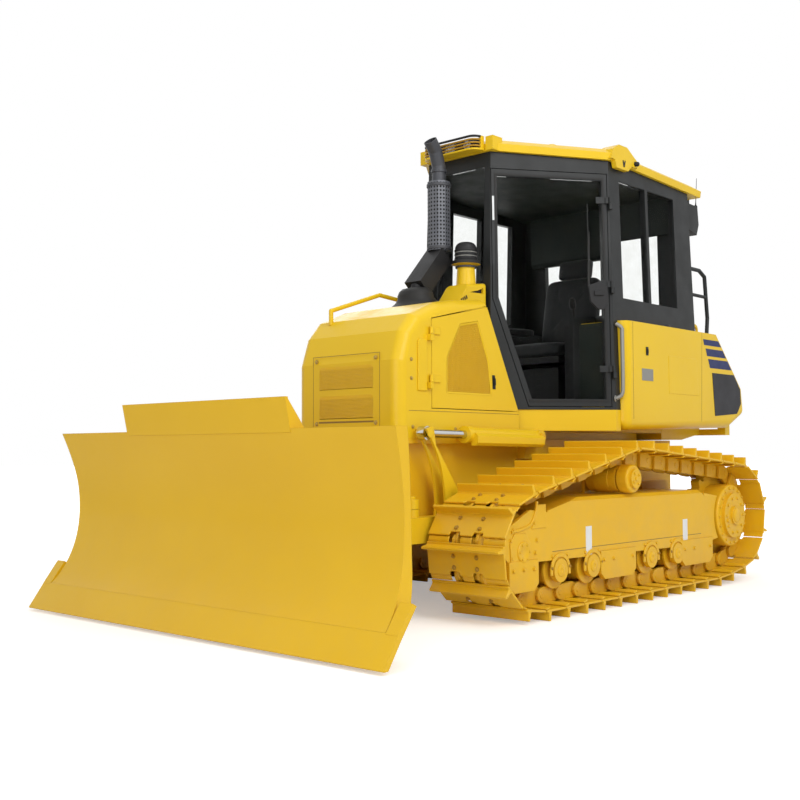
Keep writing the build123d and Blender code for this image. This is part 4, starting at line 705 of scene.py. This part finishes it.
def scan_bars(outline, step, width, depth, level, upright, across=along_x):
    """Thin bars across a convex outline (a, z): at each step a bar runs between the outline's crossings.

    The level is the distance of the bars' back from the machine's middle, square to the outline.
    """
    away = np.cross(along_z, across)
    o = np.asarray(outline, float)
    if upright:
        o = o[:, ::-1]
    p, q = o, np.roll(o, -1, axis=0)
    bars = []
    for z in np.arange(o[:, 1].min() + step / 2, o[:, 1].max(), step):
        hit = (p[:, 1] - z) * (q[:, 1] - z) < 0
        x = p[hit, 0] + (z - p[hit, 1]) / (q[hit, 1] - p[hit, 1]) * (q[hit, 0] - p[hit, 0])
        edge = oblong(x.min(), x.max(), z - width / 2, z + width / 2)
        edge = [(j, i) for i, j in edge] if upright else edge
        bars.append(slab(edge, away * level, across, along_z, -depth))
    return joined(*bars)


screen_edge = [(712, 1201), (712, 1399), (592, 1598), (431, 1628), (331, 1399), (301, 1201)]
screen = joined(scan_bars(screen_edge, 11.0, 3.6, 2.2, 394.0, False),
                scan_bars(screen_edge, 11.0, 3.6, 2.2, 395.6, True))
rim = np.array(screen_edge)
inner = rim + (rim.mean(0) - rim) * 0.05
rim_verts = np.vstack([np.insert(rim, 1, 400.4, axis=1), np.insert(inner, 1, 398.0, axis=1)])
screen_rim = rim_verts, prism_faces(len(rim))[:len(rim)]
door_latch = joined(side_slab([(268, 1240), (296, 1240), (300, 1322), (274, 1322)], 400, 4.0),
                    side_slab([(275, 1262), (289, 1262), (291, 1304), (278, 1304)], 403.5, 9.0))
for label in ("left", "right"):
    body = f"engine_door_{label}"
    hard_piece(f"door_screen_{label}", on_side(screen, label), screen_gold, body=body)
    hard_piece(f"door_screen_rim_{label}", on_side(screen_rim, label), yellow, body=body)
    hard_piece(f"door_latch_{label}", on_side(door_latch, label), black, 2.0, body=body)
cover = side_slab([(886, 1206), (960, 1206), (960, 1478), (940, 1492), (886, 1492)], 399.5, 9.0)
hard_piece("hinge_covers", both(cover), yellow, 4.0)


def nose_screen(low, high):
    """Two crossed layers of bars over one opening of the nose."""
    edge = [(-210, low), (210, low), (206, high), (-206, high)]
    layers = (-nose_x - 0.1, False), (-nose_x - 1.5, True)
    return joined(*[scan_bars(edge, 7.5, 4.4, 1.8, level, upright, along_y) for level, upright in layers])


hard_piece("nose_screens", joined(nose_screen(1226, 1352), nose_screen(1062, 1188)), screen_gold)
nose_bolts = bolts([(nose_x, y, z) for y in (-232, 232) for z in (1388, 1034)], along_x, 1.15)
hood_spots = ((1010, 1374), (1010, 1272), (905, 1252), (905, 1444), (1000, 1010), (899, 1002), (640, 1002),
              (420, 1002))
piece("hood_bolts", *joined(nose_bolts, both(side_bolts(hood_side, hood_spots))), bolt_brass)
# Dark strips along the nose panel's joints: painted shade lines.
nose_lines = ((-262, 262, 1412, 1415), (-262, -259, 1012, 1412), (259, 262, 1012, 1412),
              (-215, 215, 1036, 1046))
nose_seam_shade = joined(*[front_slab(oblong(*line), nose_x + 0.1, 1.0) for line in nose_lines])
hard_piece("nose_seam_shade", nose_seam_shade, painted_seam_shade)
# Dark strips along the hood sides: painted shade lines.
hard_piece("hood_seam_shade", both(side_slab(oblong(40, 1030, 1096, 1099), hood_side, 1.0)), painted_seam_shade)
vent = np.array([(330, 1808), (340, 1803), (332, 1783), (322, 1788)])
vents = [side_slab(vent + (16 * k, -8 * k), 238.2, 1.2) for k in range(4)]
cowl_window = side_slab([(300, 1828), (222, 1846), (170, 1866), (168, 1832)], 221, 1.5)
hard_piece("cowl_openings", joined(*vents, cowl_window), black)
boot = [(120, -30), (156, -16), (156, -4), (146, 2), (126, 16), (110, 38), (108, 60), (96, 84), (76, 100),
        (52, 104)]
piece("exhaust_boot", *lathe(boot, (515, 0, 1751), (0.12, 0, 0.99), 40), rubber)

cleaner_axis, stack_axis = (cleaner_x, cleaner_y, 0), (stack_x, 0, 0)
rings = [lathe([(64, z - 7), (69, z - 6), (71, z), (69, z + 6), (64, z + 7)], cleaner_axis, along_z, 40)
         for z in (2048, 2072, 2096)]
piece("cleaner_rings", *joined(*rings), black)
bright = [lathe([(66, z - 3), (68.4, z - 2), (68.4, z + 2), (66, z + 3)], cleaner_axis, along_z, 40)
          for z in (2060, 2084)]
piece("cleaner_bands", *joined(*bright), bar_grey)
band = lathe([(60, 1990), (64, 1990), (66, 1996), (64, 2002), (60, 2002)], cleaner_axis, along_z, 36)
clamp_rows = ((70, 76, 2112, 2128), 36), ((70, 76, 2500, 2516), 36), ((41, 48, 2590, 2608), 32)
clamps = [lathe(oblong(*sizes), stack_axis, along_z, sides) for sizes, sides in clamp_rows]
piece("pipe_clamps", *joined(band, *clamps), stack_steel)


# Cab fittings

post, wall_end, cab_rear = np.array([150.0, 273.0]), np.array([-505.0, 745.0]), -1600
run = (wall_end - post) / math.hypot(*(wall_end - post))
away = np.array([run[1], -run[0]])
wall_foot, wall_lean = 1130.0, math.tan(math.radians(1.7))
roof_fall = math.atan2(58.0, 1861.0)


def wall_point(s, z, proud=0.0):
    """A point on the left door wall: s along it from the windscreen post, z its height, proud of its lean."""
    s, z, proud = np.broadcast_arrays(np.asarray(s, float), z, proud)
    off = proud - (z - wall_foot) * wall_lean
    return np.stack([post[0] + s * run[0] + off * away[0], post[1] + s * run[1] + off * away[1], z], -1)


def wall_slab(outline, low, high):
    """An outline (s, z) on the door wall between two distances from its face."""
    s, z = np.asarray(outline, float).T
    return np.vstack([wall_point(s, z, low), wall_point(s, z, high)]), prism_faces(len(s))


def cab_plan(inset):
    """The cab's six corners in plan, moved in by one distance on every side."""
    nx, ny = away
    a = (post[0] - inset, post[1] - inset * (1 - nx) / ny)
    b = (wall_end[0] - inset * (1 - ny) / nx, wall_end[1] - inset)
    c = (cab_rear + inset, wall_end[1] - inset)
    return [a, b, c] + [(x, -y) for x, y in (c, b, a)]


# Lining inside the cab in the near-black lining colour, partly painted shade.
lining = slab([(x - post[0], y) for x, y in cab_plan(97.0)], (post[0], 0, 2690),
              (math.cos(roof_fall), 0, math.sin(roof_fall)), along_y, 24)
hard_piece("headliner", lining, lining_shaded, 6.0)
header = side_slab([(-1512, 2392), (-1500, 2392), (-1440, 2640), (-1512, 2640)], 600, -1200.0)
unit = side_slab([(-1512, 2272), (-1470, 2272), (-1452, 2300), (-1440, 2640), (-1512, 2640)], 96, -656.0)
hard_piece("rear_header_lining", joined(header, unit), lining_shaded, 5.0)
well = joined(block((-553, 438, 1166), (-545, 712, 1686)), block((-1590, 436, 1166), (-545, 443, 1686)))
hard_piece("cab_well_lining", both(well), lining_shaded, 2.0)

handle_edge = [(640, 1902), (700, 1926), (764, 1905), (768, 1800), (742, 1752), (700, 1752), (650, 1800)]
handle = joined(wall_slab(handle_edge, -1, 17), wall_slab(oblong(672, 735, 1868, 1838), 16, 27))
seal_edges = ([(46, 1800), (58, 1810), (58, 2572), (46, 2572)], oblong(746, 758, 1190, 2572),
              oblong(46, 758, 2572, 2584), oblong(246, 758, 1178, 1192))
seal = joined(*[wall_slab(edge, -1, 3) for edge in seal_edges])
wiper = joined(wall_slab([(640, 1895), (656, 1895), (662, 2240), (652, 2240)], -12, -4),
               wall_slab(oblong(648, 655, 2000, 2420), -15, -9))
strip = wall_slab(oblong(30, 42, 2290, 2440), -1, 1.5)
for label in ("left", "right"):
    body = f"cab_door_{label}"
    hard_piece(f"door_handle_{label}", on_side(handle, label), black, 4.0, body=body)
    hard_piece(f"door_seal_{label}", on_side(seal, label), rubber, body=body)
    hard_piece(f"door_wiper_{label}", on_side(wiper, label), rubber, 1.5, 1, body=body)
    hard_piece(f"door_marker_{label}", on_side(strip, label), white_blank, body=body)

bar_points = [(-512, 742, 1200), (-528, 772, 1225), (-532, 778, 1300), (-540, 772, 1600), (-541, 768, 1640),
              (-528, 736, 1668)]
bar = joined(tube(smooth_path(bar_points, 6), 12.0, 12),
             lathe([(0, 0), (22, 0), (22, 5), (14, 8)], (-510, 736, 1200), (-0.3, 0.95, 0), 16))
piece("step_bars", *both(bar), bar_grey)
whip = joined(tube([(-1722, 676, 2600), (-1724, 677, 2640), (-1732, 682, 2812)], [7.0, 3.0, 1.6], 8),
              lathe([(0, 0), (13, 0), (13, 18), (8, 26), (0, 26)], (-1722, 676, 2592), along_z, 14))
piece("antenna", *whip, black)
hook = [(-655, 2676), (-640, 2676), (-632, 2716), (-642, 2720), (-650, 2700), (-660, 2722), (-668, 2716)]
knob = [(0, 0), (13, 0), (15, 6), (15, 26), (10, 32), (0, 32)]
knobs = joined(lathe(knob, (-785, 732, 2722), (-0.2, 0.9, -0.1), 16), side_slab(hook, 736.6, 2.0))
piece("roof_knobs", *both(knobs), black)
dome = [(42, -14), (40, 4), (30, 15), (14, 20), (0, 21)]
piece("roof_dome", *lathe(dome, (-290, 430, 2786), along_z, 24), yellow)

tank_side, tank_inset = 790, 789.5
latch = joined(side_slab(oblong(-825, -797, 1484, 1538), tank_side, 4.0),
               side_slab(oblong(-819, -803, 1496, 1524), 793.5, 6.0))
hard_piece("tank_latches", both(latch), black, 1.5)
# Dark strips along the tank's panel joints: painted shade lines.
tank_lines = oblong(-640, -637, 1075, 1685), [(-1540, 1075), (-1537, 1075), (-1560, 1685), (-1563, 1685)]
hard_piece("tank_seam_shade", both(joined(*[side_slab(o, tank_side, 0.8) for o in tank_lines])), painted_seam_shade)
stripe_edges = ([(-1577, 1645), (-1806, 1645), (-1847, 1605), (-1590, 1605)],
                [(-1612, 1582), (-1871, 1582), (-1923, 1531), (-1632, 1531)],
                [(-1646, 1511), (-1944, 1511), (-2006, 1450), (-1674, 1450)])
hard_piece("side_stripes", both(joined(*[side_slab(o, tank_side, 1.0) for o in stripe_edges])), stripe_blue)
panel_edge = [(-1703, 1417), (-2040, 1417), (-2136, 1318), (-2146, 1215), (-2080, 1140), (-1737, 1117)]
hard_piece("side_panels", both(side_slab(panel_edge, tank_inset, 3.5)), panel_dark, 2.0)
eye = [(34, -7), (42, -5), (44, 0), (42, 5), (34, 7), (22, 6), (20, 0), (22, -6), (34, -7)]
eye_foot = side_slab([(-1790, 1688), (-1706, 1688), (-1722, 1704), (-1774, 1704)], 634, 12.0)
piece("lifting_eyes", *both(joined(lathe(eye, (-1748, 640, 1732), along_y, 28), eye_foot)), yellow)
hard_piece("tank_plates", both(side_slab(oblong(-884, -744, 1322, 1398), tank_inset, 3.0)), bar_grey, 1.2)
emboss = side_slab([(-1500, 1250), (-1090, 1250), (-1090, 1500), (-1470, 1500)], 789.0, 3.5)
hard_piece("tank_embosses", both(emboss), yellow, 2.5)
cap = [(52, -4), (52, 16), (46, 24), (20, 28), (0, 28)]
piece("filler_cap", *lathe(cap, (-1180, 700, 1690), along_z, 28), black)


# Lamps

lamp_z, rear_lamp_y = 2765.5, 560
guard_back, guard_half, guard_round = 128.8, 222, 62


def lamp_housing(y, half, high):
    """Case, dish and lens of one lamp: a round or squared outline (y, z), scaled by k at each depth x.

    The oval is half cos^p(t), high sin^p(t), powers with the sign kept; p is 1 on the round lamp.
    """
    t = np.linspace(0, 2 * np.pi, 40, endpoint=False)
    p = 1.0 if half == high else 0.35
    across, up = half * signed_power(np.cos(t), p), high * signed_power(np.sin(t), p)

    def shell(*steps):
        rings = [np.column_stack([np.full(len(t), x), y + k * across, lamp_z + k * up]) for x, k in steps]
        return np.vstack(rings), grid(len(steps), len(t))

    return (shell((138.5, 0.0), (138.5, 0.72), (150, 0.9), (176, 1.0), (182, 0.98), (182, 0.88), (178, 0.86)),
            shell((178, 0.86), (166, 0.7), (158, 0.4), (155, 0.0)),
            shell((178.5, 0.87), (180.5, 0.6), (181.5, 0.0)))


cases, dishes, fronts = zip(lamp_housing(125, 34, 34), lamp_housing(-10, 48, 31), lamp_housing(-150, 48, 31))
lamp_cases = piece("lamp_cases", *joined(*cases), black)
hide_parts("work_lamps")
piece("lamp_dishes", *joined(*dishes), reflector)
piece("lamp_lenses", *joined(*fronts), lens)
rear_ys = (-rear_lamp_y, rear_lamp_y)
rear_cases = joined(*[block((-1742, y - 60, 2640), (-1712, y + 60, 2700)) for y in rear_ys])
rear_fronts = joined(*[block((-1744, y - 52, 2648), (-1741, y + 52, 2692)) for y in rear_ys])
hard_piece("rear_lamp_cases", rear_cases, black, 4.0)
hard_piece("rear_lamp_lenses", rear_fronts, lens, 1.5)


def guard_line(inset):
    """The lamp guard's edge in plan, a straight front and two quarter circles, moved in by a distance."""
    turn = np.linspace(0, np.pi / 2, 10)
    r = guard_round - inset
    x, y = 154 + r * np.sin(turn), guard_half - guard_round + r * np.cos(turn)
    left = np.vstack([np.stack([x, y], 1)[::-1], [(guard_back, guard_half - inset)]])
    return np.vstack([left[::-1] * (1, -1), left])


def guard_bar(inset, z, radius):
    """A round bar bent along the guard's edge at one height."""
    line = guard_line(inset)
    return tube(np.column_stack([line, np.full(len(line), z)]), radius, 10)


cheeks = [block((129, y, 2722), (160, y + 14, 2812)) for y in (-guard_half, guard_half - 14)]
shelf = slab(guard_line(0.5), (0, 0, 2721), along_x, along_y, 12.0)
guard = hard_piece("lamp_guard", joined(shelf, *cheeks), yellow, 3.0)
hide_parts("lamp_bar")
piece("lamp_guard_bars", *joined(*[guard_bar(6.5, z, 5.5) for z in (2747, 2767, 2787)]), bolt_gold)
piece("lamp_guard_top", *guard_bar(8.0, 2806.5, 7.5), black)
hard_piece("lamp_bar_back", front_slab(oblong(-218, 218, 2730, 2808), guard_back, 9.6), black)


# Seat and controls

seat_x, back_lean, lever_x, lever_ys = -900, math.radians(79.5), -690, (330, -330)


def cushion(centre, half, turn=0.0, crown=10.0, grooves=()):
    """A stuffed block: a superellipsoid of half sizes a, b, c whose top swells by a cosine, with grooves.

    x = a cos^p(v) cos^q(u), y = b cos^p(v) sin^q(u), z = c sin^r(v), powers with the sign kept; then turned
    about Y. A groove dips by a bell curve of its distance across.
    """
    around, up = np.linspace(-np.pi, np.pi, 96, endpoint=False), np.linspace(-np.pi / 2, np.pi / 2, 49)
    u, v = np.meshgrid(around, up, indexing="xy")
    x = signed_power(np.cos(v), 0.28) * signed_power(np.cos(u), 0.24)
    y = signed_power(np.cos(v), 0.28) * signed_power(np.sin(u), 0.24)
    z = signed_power(np.sin(v), 0.5)
    swell = crown * np.cos(x * np.pi / 2.1) * np.cos(y * np.pi / 2.1) * (z > 0)
    for g in grooves:
        swell = swell - 7.0 * np.exp(-((y - g) / 0.035) ** 2) * (z > 0) * np.clip(np.cos(x * 1.4), 0, 1)
    p = np.stack([x * half[0], y * half[1], z * half[2] + swell], -1).reshape(-1, 3)
    c, s = math.cos(turn), math.sin(turn)
    p = p @ np.array([[c, 0, -s], [0, 1, 0], [s, 0, c]])
    return p + np.asarray(centre, float), grid(len(up), len(around))


back_tube = smooth_path([(-1090, 0, 1480), (-1170, 0, 1530), (-1215, 0, 1700), (-1262, 0, 2050)], 5)
pan = joined(block((-1105, -215, 1462), (-665, 215, 1506)), block((-1060, -160, 1162), (-740, 160, 1440)),
             tube(back_tube, 16.0, 10))
seat_pan = hard_piece("seat_pan", pan, black, 10.0)
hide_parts("cab_seat")
folds = [(120, 1162), *[(150 + 14 * (k % 2), 1180 + 20 * k) for k in range(14)], (120, 1465)]
piece("seat_bellows", *lathe(folds, (seat_x, 0, 0), along_z, 28), rubber)
seat_pads = (("seat_cushion", ((-880, 0, 1552), (240, 238, 52), 0.0, 14.0, (-0.45, 0.45)), 0.8),
             ("seat_back", ((-1150, 0, 1850), (250, 222, 42), back_lean, 12.0, (-0.45, 0.45)), 0.8),
             ("seat_headrest", ((-1212, 0, 2168), (68, 130, 34), back_lean, 8.0), 0.8),
             ("armrest_left", ((seat_x, 285, 1716), (150, 38, 24), 0.05, 5.0), 0.9),
             ("armrest_right", ((seat_x, -285, 1716), (150, 38, 24), 0.05, 5.0), 0.9))
for name, pad, fill in seat_pads:
    piece(name, *cushion(*pad), seat_cloth)
knob = [(0, 0), (16, 2), (21, 18), (23, 40), (19, 62), (12, 74), (0, 78)]
gaiter = [(46, 1688), *[(44 - 5 * k + 4 * (k % 2), 1692 + 8 * k) for k in range(6)], (10, 1742)]
levers = [joined(tube(smooth_path([(lever_x, y, 1690), (-680, y, 1760), (-668, y, 1812)], 5), 9.0, 10),
                 lathe(knob, (-668, y, 1806), (0.15, 0, 1), 20)) for y in lever_ys]
gaiters = [lathe(gaiter, (lever_x, y, 0), along_z, 20) for y in lever_ys]
piece("hand_levers", *joined(*levers, *gaiters), rubber)
dash = side_slab([(-52, 1660), (-30, 1752), (20, 1766), (20, 1660)], -150, 300.0)
hard_piece("dash_panel", dash, panel_dark, 6.0)


# Studio and camera

floor_half, white = 60.0, (1, 1, 1, 1)
lamp_rows = (("key", (3.0, 9.0, 7.5), (0, 0, 1), 7.0, 640.0),
             ("front", (9.0, 3.5, 3.6), (0.2, 0, 0.8), 6.0, 235.0),
             ("top", (-1.0, 0.0, 9.5), (-0.5, 0, 0), 8.0, 150.0),
             ("fill", (-6.0, -8.0, 5.5), (-0.5, 0, 1), 7.0, 240.0))


def studio():
    """A pale floor that keeps the shadow, a world that camera, gloss and glass see white, and soft lamps."""
    corners = [(x, y, -mm) for x, y in oblong(-floor_half, floor_half, -floor_half, floor_half)]
    mesh = bpy.data.meshes.new("floor")
    mesh.from_pydata(corners, [], [[0, 1, 2, 3]])
    floor = bpy.data.objects.new("floor", mesh)
    scene.collection.objects.link(floor)
    mat, tree, shader = finish("floor_white", Base_Color=(0.93, 0.93, 0.93, 1), Roughness=0.9,
                               Emission_Color=white)
    ray = tree.nodes.new("ShaderNodeLightPath")
    distance = tree.nodes.new("ShaderNodeVectorMath")
    distance.operation = "LENGTH"
    tree.links.new(object_vector(tree), distance.inputs[0])
    far = ranged(tree, distance.outputs["Value"], 3.5, 9.0, 0.34, 1.0)
    seen = math_node(tree, "MULTIPLY", ray.outputs["Is Camera Ray"], far)
    tree.links.new(seen, shader.inputs["Emission Strength"])
    mesh.materials.append(mat)

    world = bpy.data.worlds.new("studio")
    world.use_nodes = True
    scene.world = world
    tree = world.node_tree
    plain = tree.nodes["Background"]
    plain.inputs["Color"].default_value = white
    ray = tree.nodes.new("ShaderNodeLightPath")
    seen = ray.outputs["Is Camera Ray"]
    for kind in ("Is Glossy Ray", "Is Transmission Ray"):
        seen = math_node(tree, "MAXIMUM", seen, ray.outputs[kind])
    tree.links.new(ranged(tree, seen, 0.0, 1.0, 0.40, 1.0), plain.inputs["Strength"])

    for label, spot, aim, size, power in lamp_rows:
        lamp = bpy.data.lights.new(label, "AREA")
        lamp.size = size
        lamp.energy = power
        lamp_obj = bpy.data.objects.new(label, lamp)
        lamp_obj.location = spot
        lamp_obj.rotation_euler = (Vector(aim) - Vector(spot)).to_track_quat("-Z", "Y").to_euler()
        lamp_obj.visible_transmission = False
        scene.collection.objects.link(lamp_obj)
    scene.view_settings.view_transform = "Standard"


def camera():
    """The photograph's view: place, heading, pitch and roll, with the lens for an 800 px square frame."""
    eye_point, focal_px, frame_px, sensor = (5.3826, 4.3068, 0.8784), 1092.46, 800, 36.0
    yaw, pitch, roll = math.radians(42.374), math.radians(2.686), math.radians(-0.19)
    d = Vector((-math.cos(yaw) * math.cos(pitch), -math.sin(yaw) * math.cos(pitch), math.sin(pitch)))
    r = d.cross(Vector(along_z)).normalized()
    u = r.cross(d)
    r, u = r * math.cos(roll) + u * math.sin(roll), u * math.cos(roll) - r * math.sin(roll)
    turn = Matrix((r, u, -d)).transposed()
    data = bpy.data.cameras.new("camera")
    data.sensor_width = sensor
    data.lens = focal_px / frame_px * sensor
    obj = bpy.data.objects.new("camera", data)
    obj.matrix_world = Matrix.Translation(eye_point) @ turn.to_4x4()
    scene.collection.objects.link(obj)
    scene.camera = obj


studio()
camera()
